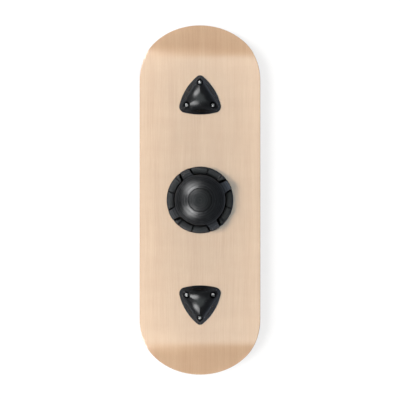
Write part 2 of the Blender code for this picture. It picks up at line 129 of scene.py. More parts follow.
def spread(low, high, steps):
    """Evenly spread values from low to high, both included."""
    return [low + (high - low) * i / steps for i in range(steps + 1)]


def ring_faces(rows, count, closed=False):
    """Quads between rows of count points each; closed also joins the last row to the first."""
    faces = []
    for row in range(rows if closed else rows - 1):
        low, high = row * count, (row + 1) % rows * count
        for i in range(count):
            j = (i + 1) % count
            faces.append((low + i, low + j, high + j, high + i))
    return faces


def circle_rows(profile, count, first=0.0):
    """Points of a lathe profile of (radius, z) pairs turned about Z, one row for each pair."""
    angles = [first + math.tau * i / count for i in range(count)]
    return [polar(r, a, z) for r, z in profile for a in angles]


def turned(name, profile, count, finish=None):
    """A solid of revolution about Z, whose profile starts and ends on the axis."""
    inner = profile[1:-1]
    points = circle_rows(inner, count)
    low, high, last = len(points), len(points) + 1, (len(inner) - 1) * count
    points += [(0, 0, profile[0][1]), (0, 0, profile[-1][1])]
    faces = ring_faces(len(inner), count)
    faces += [(low, (i + 1) % count, i) for i in range(count)]
    faces += [(high, last + i, last + (i + 1) % count) for i in range(count)]
    return piece_from(name, points, faces, finish)


def closed_loft(name, rings, finish=None):
    """A loft of rings with a flat face over its first ring and its last."""
    points = [point for ring in rings for point in ring]
    count = len(rings[0])
    faces = ring_faces(len(rings), count)
    faces += [tuple(range(count)), tuple(range(len(points) - count, len(points)))]
    return piece_from(name, points, faces, finish)

# %% Cut or join with another mesh, and keep only the result
def combine(target, tool, operation):
    """A Boolean that is applied at once, after which the tool is removed."""
    step = target.modifiers.new("combine", "BOOLEAN")
    step.operation = operation
    step.solver = "EXACT"
    step.object = tool
    bpy.context.view_layer.update()
    seen = target.evaluated_get(bpy.context.evaluated_depsgraph_get())
    result = bpy.data.meshes.new_from_object(seen)
    target.modifiers.clear()
    target.data = result
    result.set_sharp_from_angle(angle=math.radians(SMOOTH_ANGLE))
    bpy.data.objects.remove(tool, do_unlink=True)

# %% [markdown]
# ## Shader tools
# A finish is a network of shader nodes. Wiring each node by hand takes four or five lines, so these
# short helpers add a node and link its inputs in one line. Effects that several finishes share are
# node groups: built once, with named inputs, and placed in each material with its own values.

# %% Add nodes and link them
NOISE = (0.3, 0.7)  # most values of a noise lie between these


class Wires:
    """Adds nodes to one node tree. An input may be a number, a colour, a vector or another output."""

    def __init__(self, tree):
        self.tree = tree

    def put(self, node, **inputs):
        """Fills inputs of a node by name, or by number as i0, i1 and so on."""
        for name, value in inputs.items():
            plug = node.inputs[int(name[1:]) if name[1:].isdigit() else name.replace("_", " ")]
            if isinstance(value, bpy.types.NodeSocket):
                self.tree.links.new(value, plug)
            else:
                plug.default_value = (*value[:3], 1) if plug.type == "RGBA" else value

    def node(self, kind, settings=None, **inputs):
        made = self.tree.nodes.new("ShaderNode" + kind)
        for name, value in (settings or {}).items():
            setattr(made, name, value)
        self.put(made, **inputs)
        return made

    def add(self, kind, out=0, settings=None, **inputs):
        """A new node's output, by name or number."""
        return self.node(kind, settings, **inputs).outputs[out]

    def split(self, vector):
        return self.node("SeparateXYZ", Vector=vector).outputs

    def group(self, tree, **inputs):
        """Puts a node group in and returns its outputs."""
        return self.node("Group", {"node_tree": tree}, **inputs).outputs

    def math(self, operation, *values, clamp=False):
        plugs = {f"i{number}": value for number, value in enumerate(values)}
        return self.add("Math", 0, {"operation": operation, "use_clamp": clamp}, **plugs)

    def chain(self, operation, first, *others):
        for other in others:
            first = self.math(operation, first, other)
        return first

    # Shorthands for the sums used most; rest is what a part leaves of 1.
    plus = partialmethod(chain, "ADD")
    times = partialmethod(chain, "MULTIPLY")
    largest = partialmethod(chain, "MAXIMUM")
    minus = partialmethod(math, "SUBTRACT")
    over = partialmethod(math, "DIVIDE")
    rest = partialmethod(math, "SUBTRACT", 1.0)
    size = partialmethod(math, "ABSOLUTE")
    above = partialmethod(math, "GREATER_THAN")
    below = partialmethod(math, "LESS_THAN")

    def square(self, value):
        return self.math("POWER", value, 2.0)

    def length(self, first, second):
        return self.math("SQRT", self.plus(self.square(first), self.square(second)))

    def vector(self, operation, first, second=(0, 0, 0), out=0):
        return self.add("VectorMath", out, {"operation": operation}, i0=first, i1=second)

    def scaled(self, vector, scale):
        return self.add("VectorMath", 0, {"operation": "SCALE"}, i0=vector, Scale=scale)

    def remap(self, value, low, high, to_low=0.0, to_high=1.0, smooth=False):
        """Takes low..high to to_low..to_high, and holds the ends."""
        kind = {"interpolation_type": "SMOOTHSTEP" if smooth else "LINEAR"}
        return self.add("MapRange", 0, kind, i0=value, i1=low, i2=high, i3=to_low, i4=to_high)

    def noise(self, vector, scale, detail=2.0, rough=0.5):
        return self.add("TexNoise", Vector=vector, Scale=scale, Detail=detail, Roughness=rough)

    def bump(self, height, distance, strength):
        return self.add("Bump", Height=height, Distance=distance, Strength=strength)

    def mix(self, factor, first, second):
        """A colour mix."""
        return self.add("Mix", 2, {"data_type": "RGBA"}, i0=factor, i6=first, i7=second)

    def blend(self, factor, first, second):
        """A mix of two numbers."""
        return self.add("Mix", 0, {"data_type": "FLOAT"}, i0=factor, i2=first, i3=second)

    def mix_shader(self, factor, first, second):
        return self.add("MixShader", i0=factor, i1=first, i2=second)

# %% Make a node group, a material, or an empty tree
def effect_group(name, build, **inputs):
    """A node group with a Place and these number or colour inputs; build gives its outputs by name."""
    tree = bpy.data.node_groups.new(name, "ShaderNodeTree")
    tree.interface.new_socket(name="Place", in_out="INPUT", socket_type="NodeSocketVector")
    for label, default in inputs.items():
        colour = isinstance(default, tuple)
        kind = "NodeSocketColor" if colour else "NodeSocketFloat"
        plug = tree.interface.new_socket(name=label, in_out="INPUT", socket_type=kind)
        plug.default_value = (*default, 1) if colour else default
    w = Wires(tree)
    outputs = build(w, tree.nodes.new("NodeGroupInput").outputs)
    for label, value in outputs.items():
        kind = "NodeSocketColor" if value.type == "RGBA" else "NodeSocketFloat"
        tree.interface.new_socket(name=label, in_out="OUTPUT", socket_type=kind)
    w.put(tree.nodes.new("NodeGroupOutput"), **outputs)
    print(f"{name}: {len(tree.nodes)} nodes")
    return tree


def principled(name, colour):
    """A material, its wires and its Principled shader; the colour is for Blender's solid view."""
    made = bpy.data.materials.new(name)
    made.use_nodes = True
    made.diffuse_color = (*colour, 1)
    return made, Wires(made.node_tree), made.node_tree.nodes["Principled BSDF"]


def emptied(owner):
    """The wires of a material or world, without its usual nodes."""
    owner.use_nodes = True
    owner.node_tree.nodes.clear()
    return Wires(owner.node_tree)

# %% [markdown]
# ## Wood
# The deck is pressed from nine thin sheets of pale birch. Its grain follows the board round the bent
# ends, so it can't be painted by X, Y and Z. Each point of the deck's mesh carries where it was in
# the flat blank before pressing: along, across, and height through the thickness. This group turns
# that place into soft bands, fine streaks and short dark pores. A photograph of wood would need a UV
# map and would repeat; noise stretched along one axis does not.

# %% Wood grain group
def grain_effect(w, given):
    """Fibres run along the first axis of the place."""
    def stretched(place, along, across, detail, rough=0.5):
        return w.noise(w.vector("MULTIPLY", place, (along, across, across)), 1.0, detail, rough)

    wander = stretched(given["Place"], along=3.0, across=9.0, detail=1.0)
    drift = w.add("CombineXYZ", i1=w.remap(wander, *NOISE, -0.004, 0.004))
    place = w.vector("ADD", given["Place"], drift)
    bands = stretched(place, along=1.6, across=34.0, detail=2.0)
    figure = stretched(place, along=24.0, across=8.0, detail=2.0)
    streaks = stretched(place, along=7.0, across=420.0, detail=3.0, rough=0.6)
    fine = stretched(place, along=30.0, across=1900.0, detail=2.0, rough=0.6)
    dashes = stretched(place, along=110.0, across=2600.0, detail=0.0)
    pores = w.times(w.remap(dashes, 0.66, 0.74), given["Pores"])
    # The last two numbers of each remap are how much that noise darkens the wood.
    shade = w.plus(w.remap(bands, *NOISE, 0.12, 0.42), w.remap(streaks, *NOISE, 0.0, 0.35),
                   w.remap(fine, *NOISE, 0.0, 0.22), w.remap(figure, *NOISE, -0.09, 0.09))
    shade = w.math("MULTIPLY", shade, given["Contrast"], clamp=True)
    colour = w.mix(w.times(pores, 0.55), w.mix(shade, given["Pale"], given["Dark"]), given["Dark"])
    height = w.minus(w.remap(fine, 0.2, 0.8), w.times(pores, 0.8))
    return {"Color": colour, "Height": height, "Roughness": w.remap(streaks, *NOISE, 0.34, 0.44)}


wood_grain = effect_group("wood_grain", grain_effect,
                          Pale=(0.7, 0.55, 0.4), Dark=(0.5, 0.35, 0.2), Contrast=0.5, Pores=0.4)

# %% [markdown]
# ### Plywood, from its face to its edge
# One material serves the whole deck. The height in the blank says which of the nine sheets a point
# lies in: two thin outer sheets are the faces, and the seven between them show where the edge is cut.
# Sheets are laid crosswise in turn, so along a side every second one is cut across its fibres and
# looks darker and rougher, and at the tips it is the other ones. The lamps for the underside stand
# below the floor, and the wood would throw their light back on it. So the underside is dark to
# diffuse light, and seen from above the floor keeps the board's shadow.

# %% Plywood material
FACE_SHEET = 0.0006
INNER_SHEETS = 7
INNER_SHEET = (DECK_THICKNESS - 2 * FACE_SHEET) / INNER_SHEETS
LACQUER = {"Specular_IOR_Level": 0.0, "Coat_Roughness": 0.18, "Coat_IOR": 1.9}
FACE_WOOD = {"Pale": (0.698, 0.476, 0.301), "Dark": (0.503, 0.298, 0.167), "Contrast": 0.75, "Pores": 0.45}
EDGE_WOOD = {"Pale": (0.63, 0.445, 0.30), "Dark": (0.47, 0.31, 0.195), "Contrast": 0.9, "Pores": 0.3}
CUT_WOOD = {"Pale": (0.46, 0.30, 0.185), "Dark": (0.30, 0.18, 0.10), "Contrast": 0.9, "Pores": 0.8}
GLUE_COLOUR = (0.16, 0.09, 0.05)
GLUE_FROM = 0.43
UNLIT_COLOUR = (0.03, 0.02, 0.015)
CUT_SHARE, GLUE_SHARE, COAT_LOST_INSIDE, ROUGHER_INSIDE = 0.85, 0.6, 0.85, 0.2
CUT_SCALE, CUT_SHIFT = (40.0, 40.0, 1.0), (0.3, 0.7, 0.0)  # streaks shrink to dots where fibres are cut
FACES_DOWN = -0.5  # Z of the normal, below which a point is on the underside


def in_blank(w):
    """Where a point was in the flat blank."""
    return w.add("Attribute", "Vector", {"attribute_name": "blank"})


def plywood_material():
    made, w, shader = principled("birch_plywood", (0.70, 0.52, 0.37))
    blank = in_blank(w)
    level = w.over(w.minus(w.split(blank)["Z"], FACE_SHEET), INNER_SHEET)
    inside = w.times(w.above(level, 0.0), w.below(level, INNER_SHEETS))
    odd = w.math("PINGPONG", w.math("FLOOR", level), 1.0)
    normal = w.split(w.add("TexCoord", "Normal"))
    tip = w.square(w.size(normal["X"]))
    crossed = w.times(w.blend(tip, odd, w.rest(odd)), inside)
    crosswise = w.vector("ADD", w.vector("MULTIPLY", blank, CUT_SCALE), CUT_SHIFT)
    face = w.group(wood_grain, Place=blank, **FACE_WOOD)
    edge = w.group(wood_grain, Place=blank, **EDGE_WOOD)
    cut = w.group(wood_grain, Place=crosswise, **CUT_WOOD)
    seam = w.times(w.remap(w.size(w.minus(w.math("FRACT", level), 0.5)), GLUE_FROM, 0.5), inside)
    from_below = w.times(w.add("LightPath", "Is Diffuse Ray"), w.below(normal["Z"], FACES_DOWN))
    colour = w.mix(inside, face["Color"], edge["Color"])
    colour = w.mix(w.times(crossed, CUT_SHARE), colour, cut["Color"])
    colour = w.mix(w.times(seam, GLUE_SHARE), colour, GLUE_COLOUR)
    colour = w.mix(from_below, colour, UNLIT_COLOUR)
    relief = w.plus(face["Height"], w.times(crossed, cut["Height"]))
    w.put(shader, Base_Color=colour, Roughness=w.plus(face["Roughness"], w.times(inside, ROUGHER_INSIDE)),
          Normal=w.bump(relief, distance=0.00006, strength=0.6),
          Coat_Weight=w.rest(w.times(inside, COAT_LOST_INSIDE)), **LACQUER)
    return made


birch_plywood = plywood_material()
print("birch_plywood nodes:", len(birch_plywood.node_tree.nodes))

# %% [markdown]
# ## Gritty sheet
# The standing face has a black sheet like coarse sandpaper: mineral grains in black resin, each a
# fraction of a millimetre. As geometry they would take millions of faces, so a Voronoi texture
# raises a bump for each grain, and a few are paler and shinier. The print is a plain pattern made
# for this board: arrows of pale bars that point to the two ends, a thin red bar in each, and a broken
# ring that marks where the dome is. It is drawn with distances, so its edges are sharp at any size.

# %% Grit group
SHINY_PICK = (0.86, 0.95)  # about one grain in ten shines


def grit_effect(w, given):
    """Raised grains, a mask of the shiny ones, and a tone that drifts."""
    cells = w.node("TexVoronoi", Vector=given["Place"], Scale=w.over(1.0, given["Grain"])).outputs
    lumps = w.remap(cells["Distance"], 0.0, 0.6, 1.0, 0.0, smooth=True)
    pick = w.split(cells["Color"])[0]
    return {"Height": w.times(lumps, w.remap(pick, 0.0, 1.0, 0.5, 1.0)),
            "Sparkle": w.times(w.remap(pick, *SHINY_PICK), lumps),
            "Tone": w.remap(w.noise(given["Place"], scale=45.0, detail=3.0), *NOISE)}


grit = effect_group("grit", grit_effect, Grain=0.0007)

# %% The printed pattern, as masks
# Bars are given where they cross the board's long middle line, rings by their radii.
ARROW_BARS = ((0.112, 0.140), (0.158, 0.186), (0.226, 0.254))
RED_BAR = (0.202, 0.210)
ARROW_SLOPE = 0.62
ARROW_HALF_WIDTH = 0.060
RING_BAND = (0.0405, 0.0475)
RING_GAP = 0.0075
RED_RING = (0.0300, 0.0325)
LINE_INSET = (0.0125, 0.0140)
PRINT_EDGE = 0.0003


def band(w, value, low, high=1.0):
    """1 between low and high, with an edge as soft as ink on grit. A high of 1 m is past the board."""
    rise = w.remap(value, low - PRINT_EDGE, low + PRINT_EDGE)
    return w.times(rise, w.remap(value, high - PRINT_EDGE, high + PRINT_EDGE, 1.0, 0.0))


def print_masks(w, blank, half_length, half_width):
    """Masks for the pale ink and the red ink."""
    far, wide = (w.size(w.split(blank)[axis]) for axis in "XY")
    arrow, radius = w.plus(far, w.times(wide, ARROW_SLOPE)), w.length(far, wide)
    within = band(w, wide, -1.0, ARROW_HALF_WIDTH)
    bars = w.times(w.largest(0.0, *(band(w, arrow, *bar) for bar in ARROW_BARS)), within)
    ring = w.times(band(w, radius, *RING_BAND), band(w, w.size(w.minus(far, wide)), RING_GAP))
    past = w.largest(w.minus(far, half_length - half_width), 0.0)
    line = band(w, w.minus(half_width, w.length(past, wide)), *LINE_INSET)
    red = w.largest(w.times(band(w, arrow, *RED_BAR), within), band(w, radius, *RED_RING))
    return w.largest(bars, ring, line), red

# %% Gritty sheet material
GRIP_SIDE_INSET = 0.0045
GRIP_END_INSET = 0.0075
GRIP_THICKNESS = 0.0010
GRIP_HALF_LENGTH = BLANK_HALF_LENGTH - GRIP_END_INSET
GRIP_HALF_WIDTH = DECK_HALF_WIDTH - GRIP_SIDE_INSET
RESIN_COLOURS = ((0.021, 0.021, 0.0225), (0.034, 0.034, 0.036))
GLINT_COLOUR = (0.20, 0.20, 0.21)
PALE_INK = (0.56, 0.56, 0.57)
RED_INK = (0.52, 0.055, 0.060)
INK_COVER = (0.05, 0.35, 0.55, 1.0)  # a grain's height, low and high, and the ink that stays on it
GLINT_SHARE = 0.5
GRIT_ROUGHNESS = (0.88, 0.35)  # of the resin and of a shiny grain


def grip_material():
    made, w, shader = principled("black_grit", (0.030, 0.030, 0.032))
    blank = in_blank(w)
    rough = w.group(grit, Place=blank, Grain=0.0007)
    pale, red = print_masks(w, blank, GRIP_HALF_LENGTH, GRIP_HALF_WIDTH)
    cover = w.remap(rough["Height"], *INK_COVER)
    colour = w.mix(rough["Tone"], *RESIN_COLOURS)
    colour = w.mix(w.times(rough["Sparkle"], GLINT_SHARE), colour, GLINT_COLOUR)
    colour = w.mix(w.times(pale, cover), colour, PALE_INK)
    colour = w.mix(w.times(red, cover), colour, RED_INK)
    w.put(shader, Base_Color=colour, Roughness=w.remap(rough["Sparkle"], 0.0, 1.0, *GRIT_ROUGHNESS),
          Normal=w.bump(rough["Height"], distance=0.00035, strength=0.8), Specular_IOR_Level=0.25)
    return made


black_grit = grip_material()
print("black_grit nodes:", len(black_grit.node_tree.nodes))

# %% [markdown]
# ## Black plastics
# The dome, its stepped ring and the two feet are moulded in black plastic, but they don't shine
# alike. The feet are glossy. The dome has a satin face with very fine rings, as if the mould had
# been turned on a lathe, so a light on it draws out into soft streaks. The ring's steps are plainer.
# Two groups do this: a moulded skin with a faint ripple and dust, and turned rings that depend only
# on the distance from the dome's axis. The floors of the ring's slots and the feet's screw wells lose
# their shine, which is painted shade there. The thin joint round the pad loses its shine too, and all
# of it blurs where it is seen at a slant.

# %% Groups for a moulded skin and for turned rings
def skin_effect(w, given):
    ripple = w.noise(given["Place"], w.over(1.0, given["Ripple"]), detail=1.0, rough=0.4)
    pitting = w.noise(given["Place"], scale=2600.0, detail=1.0)
    handled = w.noise(given["Place"], scale=38.0, detail=4.0, rough=0.6)
    swing = w.times(w.remap(handled, 0.3, 0.75, -0.5, 1.0), given["Spread"])
    return {"Height": w.plus(w.times(ripple, 0.8), w.times(pitting, 0.2)),
            "Roughness": w.plus(given["Shine"], swing), "Tone": w.remap(handled, 0.35, 0.8)}


def rings_effect(w, given):
    place = w.split(given["Place"])
    radius = w.vector("LENGTH", w.add("CombineXYZ", i0=place["X"], i1=place["Y"]), out="Value")
    steps = w.add("CombineXYZ", i0=w.over(radius, given["Pitch"]))
    fine, broad = w.noise(steps, scale=1.0, detail=1.0), w.noise(steps, scale=0.3, detail=1.0)
    return {"Height": w.plus(w.times(fine, 0.2), w.times(broad, 0.8)), "Tone": w.remap(broad, 0.35, 0.65)}


moulded_skin = effect_group("moulded_skin", skin_effect, Ripple=0.004, Shine=0.3, Spread=0.08)
turned_rings = effect_group("turned_rings", rings_effect, Pitch=0.0006)

# %% Materials of the dome, its ring, its pad and the feet
# From this height up, inside the ring's radius, the plastic loses its shine: painted shade on the slot
# floors.
SLOT_SHADE_Z = 0.0555
SLOT_SHADE_FADE = 0.002
GRAZING = (0.35, 0.8)  # Facing of the Layer Weight node, at a slant and at the very edge
GRAZING_BLUR = 0.35
JOINT_RADIUS = 0.02605
JOINT_HALF = 0.0004
JOINT_REACH = 0.0013
TURNED_COLOURS = ((0.0080, 0.0083, 0.0088), (0.0125, 0.0129, 0.0137))
TURNED_SHINE = 0.28
TURNED_PITCH = 0.0009
RINGS_IN_ROUGHNESS = 0.20
SKIN_IN_RELIEF = 0.15
WELL_MARGIN = 0.0001


def recess_shade_mask(w, here):
    """1 in the floor of the step ring's slots and in the screw wells of the feet, whose shine is taken away
    as painted shade.
    """
    x, y, z = w.split(here)
    far, wide = w.size(x), w.size(y)
    mask = w.times(w.remap(z, SLOT_SHADE_Z - SLOT_SHADE_FADE, SLOT_SHADE_Z), w.below(far, RING_RADIUS))
    for along, across in FOOT_SCREWS[:2]:
        reach = w.length(w.minus(far, along), w.minus(wide, across))
        mask = w.largest(mask, w.below(reach, WELL_RADIUS + WELL_MARGIN))
    return mask


def blunted(w, rough):
    """Roughness that grows where the surface is seen at a grazing angle."""
    return w.plus(rough, w.remap(w.add("LayerWeight", "Facing", Blend=0.5), *GRAZING, 0.0, GRAZING_BLUR))


def plastic_material(name, colour, worn, shine, spread, ripple, depth, specular):
    """Plain moulded black plastic: skin bump, a tone that drifts, and painted shade in its recesses, where
    its shine is taken away.
    """
    made, w, shader = principled(name, colour)
    here = w.add("TexCoord", "Object")
    skin = w.group(moulded_skin, Place=here, Ripple=ripple, Shine=shine, Spread=spread)
    w.put(shader, Base_Color=w.mix(skin["Tone"], colour, worn), Roughness=blunted(w, skin["Roughness"]),
          Normal=w.bump(skin["Height"], depth, strength=0.5),
          Specular_IOR_Level=w.times(w.rest(recess_shade_mask(w, here)), specular))
    return made


def turned_material(name, depth, specular):
    """Satin plastic or rubber with fine lathe rings, which spread a highlight out from the middle."""
    made, w, shader = principled(name, TURNED_COLOURS[0])
    here = w.add("TexCoord", "Object")
    place = w.split(here)
    off_joint = w.size(w.minus(w.length(place["X"], place["Y"]), JOINT_RADIUS))
    skin = w.group(moulded_skin, Place=here, Ripple=0.003, Shine=TURNED_SHINE, Spread=0.06)
    rings = w.group(turned_rings, Place=here, Pitch=TURNED_PITCH)
    tone = w.times(w.plus(skin["Tone"], rings["Tone"]), 0.5)
    rough = w.plus(skin["Roughness"], w.times(w.minus(rings["Tone"], 0.5), RINGS_IN_ROUGHNESS))
    relief = w.plus(rings["Height"], w.times(skin["Height"], SKIN_IN_RELIEF))
    w.put(shader, Base_Color=w.mix(tone, *TURNED_COLOURS), Roughness=blunted(w, rough),
          Normal=w.bump(relief, depth, strength=0.6), Anisotropic=0.55,
          Tangent=w.add("Tangent", settings={"direction_type": "RADIAL", "axis": "Z"}),
          Specular_IOR_Level=w.remap(off_joint, JOINT_HALF, JOINT_REACH, 0.0, specular))
    return made


foot_gloss = plastic_material("foot_plastic", (0.0065, 0.0067, 0.0072), (0.010, 0.0102, 0.011),
                              shine=0.24, spread=0.05, ripple=0.006, depth=0.00003, specular=0.21)
ring_satin = plastic_material("ring_plastic", (0.0075, 0.0078, 0.0084), (0.012, 0.0124, 0.0132),
                              shine=0.40, spread=0.08, ripple=0.003, depth=0.00004, specular=0.19)
dome_satin = turned_material("dome_plastic", depth=0.0007, specular=0.25)
pad_rubber = turned_material("crown_rubber", depth=0.0005, specular=0.13)
print("plastics:", [m.name for m in (foot_gloss, ring_satin, dome_satin, pad_rubber)])

# %% [markdown]
# ## Metals
# Screws, bolt, washers, nut and spring are steel, some bright zinc with a faint spangle, some plain
# with fine scratches. They are small, so one group with two noises is enough: scratches that run
# round the axis of each piece would need a UV map and wouldn't be seen.

# %% Steel group and materials
# Each steel has a colour, a duller one for its spangle, and a roughness.
STEELS = {"screw_steel": ((0.20, 0.20, 0.197), (0.15, 0.15, 0.15), 0.40),
          "bolt_steel": ((0.52, 0.52, 0.53), (0.44, 0.44, 0.45), 0.32),
          "washer_zinc": ((0.66, 0.67, 0.68), (0.55, 0.57, 0.60), 0.30),
          "spring_steel": ((0.40, 0.40, 0.41), (0.32, 0.32, 0.33), 0.28)}


def steel_effect(w, given):
    cells = w.node("TexVoronoi", Vector=given["Place"], Scale=900.0).outputs
    spangle = w.split(cells["Color"])[0]
    drawn_out = w.vector("MULTIPLY", given["Place"], (1.0, 1.0, 9.0))
    scratches = w.noise(drawn_out, scale=1200.0, detail=2.0, rough=0.6)
    return {"Height": w.remap(scratches, *NOISE),
            "Roughness": w.plus(given["Shine"], w.times(w.minus(spangle, 0.5), 0.14)), "Tone": spangle}


def steel_material(name, colour, duller, shine):
    made, w, shader = principled(name, colour)
    surface = w.group(steel_surface, Place=w.add("TexCoord", "Object"), Shine=shine)
    w.put(shader, Base_Color=w.mix(surface["Tone"], colour, duller), Roughness=surface["Roughness"],
          Normal=w.bump(surface["Height"], distance=0.00002, strength=0.4), Metallic=1.0)
    return made


steel_surface = effect_group("steel_surface", steel_effect, Shine=0.3)
steels = {name: steel_material(name, *look) for name, look in STEELS.items()}

# %% [markdown]
# ## The deck
# The real deck starts as a flat stadium, straight sides and two half circles, and a press bends both
# ends up by 23 degrees. The mesh is made the same way: rings of points are laid out flat, each a
# little further in from the edge, and a function then bends every point as the press would. A
# Simple Deform modifier could bend it too, but would bend the flat middle along with the ends.

# %% Bend a point of the flat blank
def bent(along, across, height):
    """Where the press takes a point of the blank; height is up from the deck's underside."""
    past = abs(along) - FLAT_HALF_LENGTH
    if past <= 0:
        return (along, across, UNDERSIDE_Z + height)
    turn = min(past / BEND_RADIUS, KICK_ANGLE)
    rest = past - turn * BEND_RADIUS
    x = FLAT_HALF_LENGTH + (BEND_RADIUS - height) * math.sin(turn) + rest * math.cos(turn)
    z = BEND_RADIUS - (BEND_RADIUS - height) * math.cos(turn) + rest * math.sin(turn)
    return (math.copysign(x, along), across, UNDERSIDE_Z + z)

# %% Lay out a stadium and bend it
ARC_STEPS = 26
STRAIGHT_STEPS = 26
SLIT = 0.003
RING_SPACING = 0.0095
RIM_STRIP = 0.0005


def stadium(half_length, half_width, inset):
    """Outline points (along, across), drawn in by inset, from the +X tip round to it again."""
    centre, radius = half_length - half_width, half_width - inset
    turns = spread(0, math.pi / 2, ARC_STEPS)[:-1]
    half = [(centre + radius * math.cos(a), radius * math.sin(a)) for a in turns]
    half += [(centre * (1 - 2 * i / STRAIGHT_STEPS), radius) for i in range(STRAIGHT_STEPS)]
    half += [(-centre - radius * math.sin(a), radius * math.cos(a)) for a in turns]
    return half + [(-x, -y) for x, y in half]


def pressed_sheet(name, half_length, half_width, edge, finish):
    """A bent sheet; edge is the section of its rim as (inset, height), from the underside to the top."""
    (low_inset, low), (high_inset, high) = edge[0], edge[-1]
    reach = half_width - SLIT - low_inset
    steps = round(reach / RING_SPACING)
    insets = [low_inset + reach * i / steps for i in range(steps, 0, -1)]
    section = [(inset, low) for inset in insets] + edge
    section += [(inset + high_inset - low_inset, high) for inset in reversed(insets)]
    flat = [(x, y, height) for inset, height in section for x, y in stadium(half_length, half_width, inset)]
    count = len(flat) // len(section)
    half = count // 2
    faces = ring_faces(len(section), count)
    # The innermost outline is a strip twice SLIT wide, closed by quads with a triangle at each tip.
    for start in (0, len(flat) - count):
        faces += [(start, start + 1, start + count - 1)]
        faces += [(start + i, start + i + 1, start + count - i - 1, start + count - i)
                  for i in range(1, half - 1)]
        faces += [(start + half - 1, start + half, start + half + 1)]
    made = piece_from(name, [bent(*point) for point in flat], faces, finish, smooth_angle=50)
    store = made.data.attributes.new("blank", "FLOAT_VECTOR", "POINT")
    store.data.foreach_set("vector", [value for point in flat for value in point])
    return made


def rounded_rim(base, thickness, low_radius, radius, steps):
    """A rim section with rounded corners, from the underside to the top."""
    turns = spread(0, math.pi / 2, steps)
    top = base + thickness
    under = [(low_radius * (1 - math.sin(a)), base + low_radius * (1 - math.cos(a))) for a in turns]
    over = [(radius * (1 - math.cos(a)), top - radius * (1 - math.sin(a))) for a in turns]
    return [(low_radius + RIM_STRIP, base), *under, *over, (radius + RIM_STRIP, top)]

# %% Deck
deck_rim = rounded_rim(0.0, DECK_THICKNESS, low_radius=0.0016, radius=0.0016, steps=4)
deck = pressed_sheet("deck", BLANK_HALF_LENGTH, DECK_HALF_WIDTH, deck_rim, birch_plywood)
belongs(deck, "deck", "plywood", "deck_plywood")

# %% [markdown]
# ## The gritty sheet on top
# The sheet is cut to the deck's outline, a few millimetres smaller all round, and stuck on, so a rim
# of bare wood shows. It is the same pressed stadium, 1 mm thick, lying just above the wood, with its
# upper edge barely rounded because it was cut with a knife.

# %% Grip
grip_rim = rounded_rim(DECK_THICKNESS + GAP, GRIP_THICKNESS, low_radius=0.0001, radius=0.0003, steps=2)
grip = pressed_sheet("grip", GRIP_HALF_LENGTH, GRIP_HALF_WIDTH, grip_rim, black_grit)
belongs(grip, "deck", "grip_grit", "grip_sheet")

# %% [markdown]
# ## The stepped ring
# The ring under the deck has four runs of three steps. The dome's four lugs stand on the same step
# of each run, so a turn of the dome sets how high the board stands. Seen from below, each block is
# a piece of a circle with a sloped riser before it. It is a loft round the axis: each row is one
# cross-section at one angle, and its step height follows a list of risers. Boxes joined by Booleans
# would leave the blocks flat-sided and the risers without their soft edges.

# %% Angles of the steps
LUG_ANGLE = math.radians(62)
LUG_COUNT = 4
STEP_TOP_Z = 0.039
STEP_DROP = 0.006
SLOT_STEP = 2.9  # a slot's floor, in steps from the highest
# Where the height changes: (angle inside, angle outside, step), in degrees behind a lug's centre.
STEP_STATIONS = (
    (-13.6, -11.6, 2), (-13.4, -11.4, SLOT_STEP), (-10.8, -8.8, SLOT_STEP), (-10.6, -8.6, 0),
    (10.4, 8.4, 0), (10.6, 8.6, SLOT_STEP), (16.2, 11.8, SLOT_STEP), (16.4, 12.0, 0),
    (19.2, 17.6, 0), (21.4, 22.4, 1),
    (46.6, 45.6, 1), (46.8, 45.8, SLOT_STEP), (48.4, 47.4, SLOT_STEP), (48.6, 47.6, 2))
# A sloped riser: (part of the way round, part of the way down).
RISER_SHAPE = ((0.0, 0.0), (0.08, 0.015), (0.18, 0.10), (0.5, 0.5), (0.82, 0.90), (0.92, 0.985))
WALL_TURN = 1.0
EDGE_TURN = 0.45
EDGE_FALL = 0.08
FLAT_TURN = 3.0


def moved(station, turn, fall=0.0):
    """A station turned on by an angle and lowered by a part of a step."""
    return (station[0] + turn, station[1] + turn, station[2] + fall)


def along_steps(start, end, shape):
    """Sections from start towards end; shape holds (part of the way round, part of the way down)."""
    return [tuple(a + (b - a) * part for a, b, part in zip(start, end, (way, way, down)))
            for way, down in shape]


def is_wall(start, end):
    return start[2] != end[2] and end[0] - start[0] < WALL_TURN


def flat_sections(before, start, end, after):
    """A flat, whose edge is rounded off where a block falls into a slot."""
    found, low, high = [], start, end
    if start[2] < SLOT_STEP and is_wall(before, start):
        found, low = [moved(start, 0, EDGE_FALL)], moved(start, EDGE_TURN)
    if end[2] < SLOT_STEP and is_wall(end, after):
        high = moved(end, -EDGE_TURN)
    count = max(1, round((high[0] - low[0]) / FLAT_TURN))
    found += along_steps(low, high, [(i / count, 0) for i in range(count)])
    return found + ([high] if high != end else [])


def step_sections():
    """(angle inside, angle outside, step) in degrees behind a lug's centre, for one run of steps."""
    lap = 360 / LUG_COUNT
    around = [moved(STEP_STATIONS[-1], -lap), *STEP_STATIONS]
    around += [moved(station, lap) for station in STEP_STATIONS[:2]]
    found = []
    for before, start, end, after in zip(around, around[1:], around[2:], around[3:]):
        if start[2] == end[2]:
            found += flat_sections(before, start, end, after)
        elif is_wall(start, end):
            found.append(moved(start, 0, EDGE_FALL if start[2] < SLOT_STEP else 0))
        else:
            found += along_steps(start, end, RISER_SHAPE)
    return found


print("sections in one run of steps:", len(step_sections()))

# %% Step ring
RING_INNER_RADIUS = 0.0600
RING_CHAMFER = 0.0026
RING_FACE_Z = BACK_Z - 0.0040
RING_CORNER = 0.0006
SLEEVE_RADII = (0.0165, 0.0195)
SLEEVE_END_Z = 0.040
RING_BORE = 0.0043


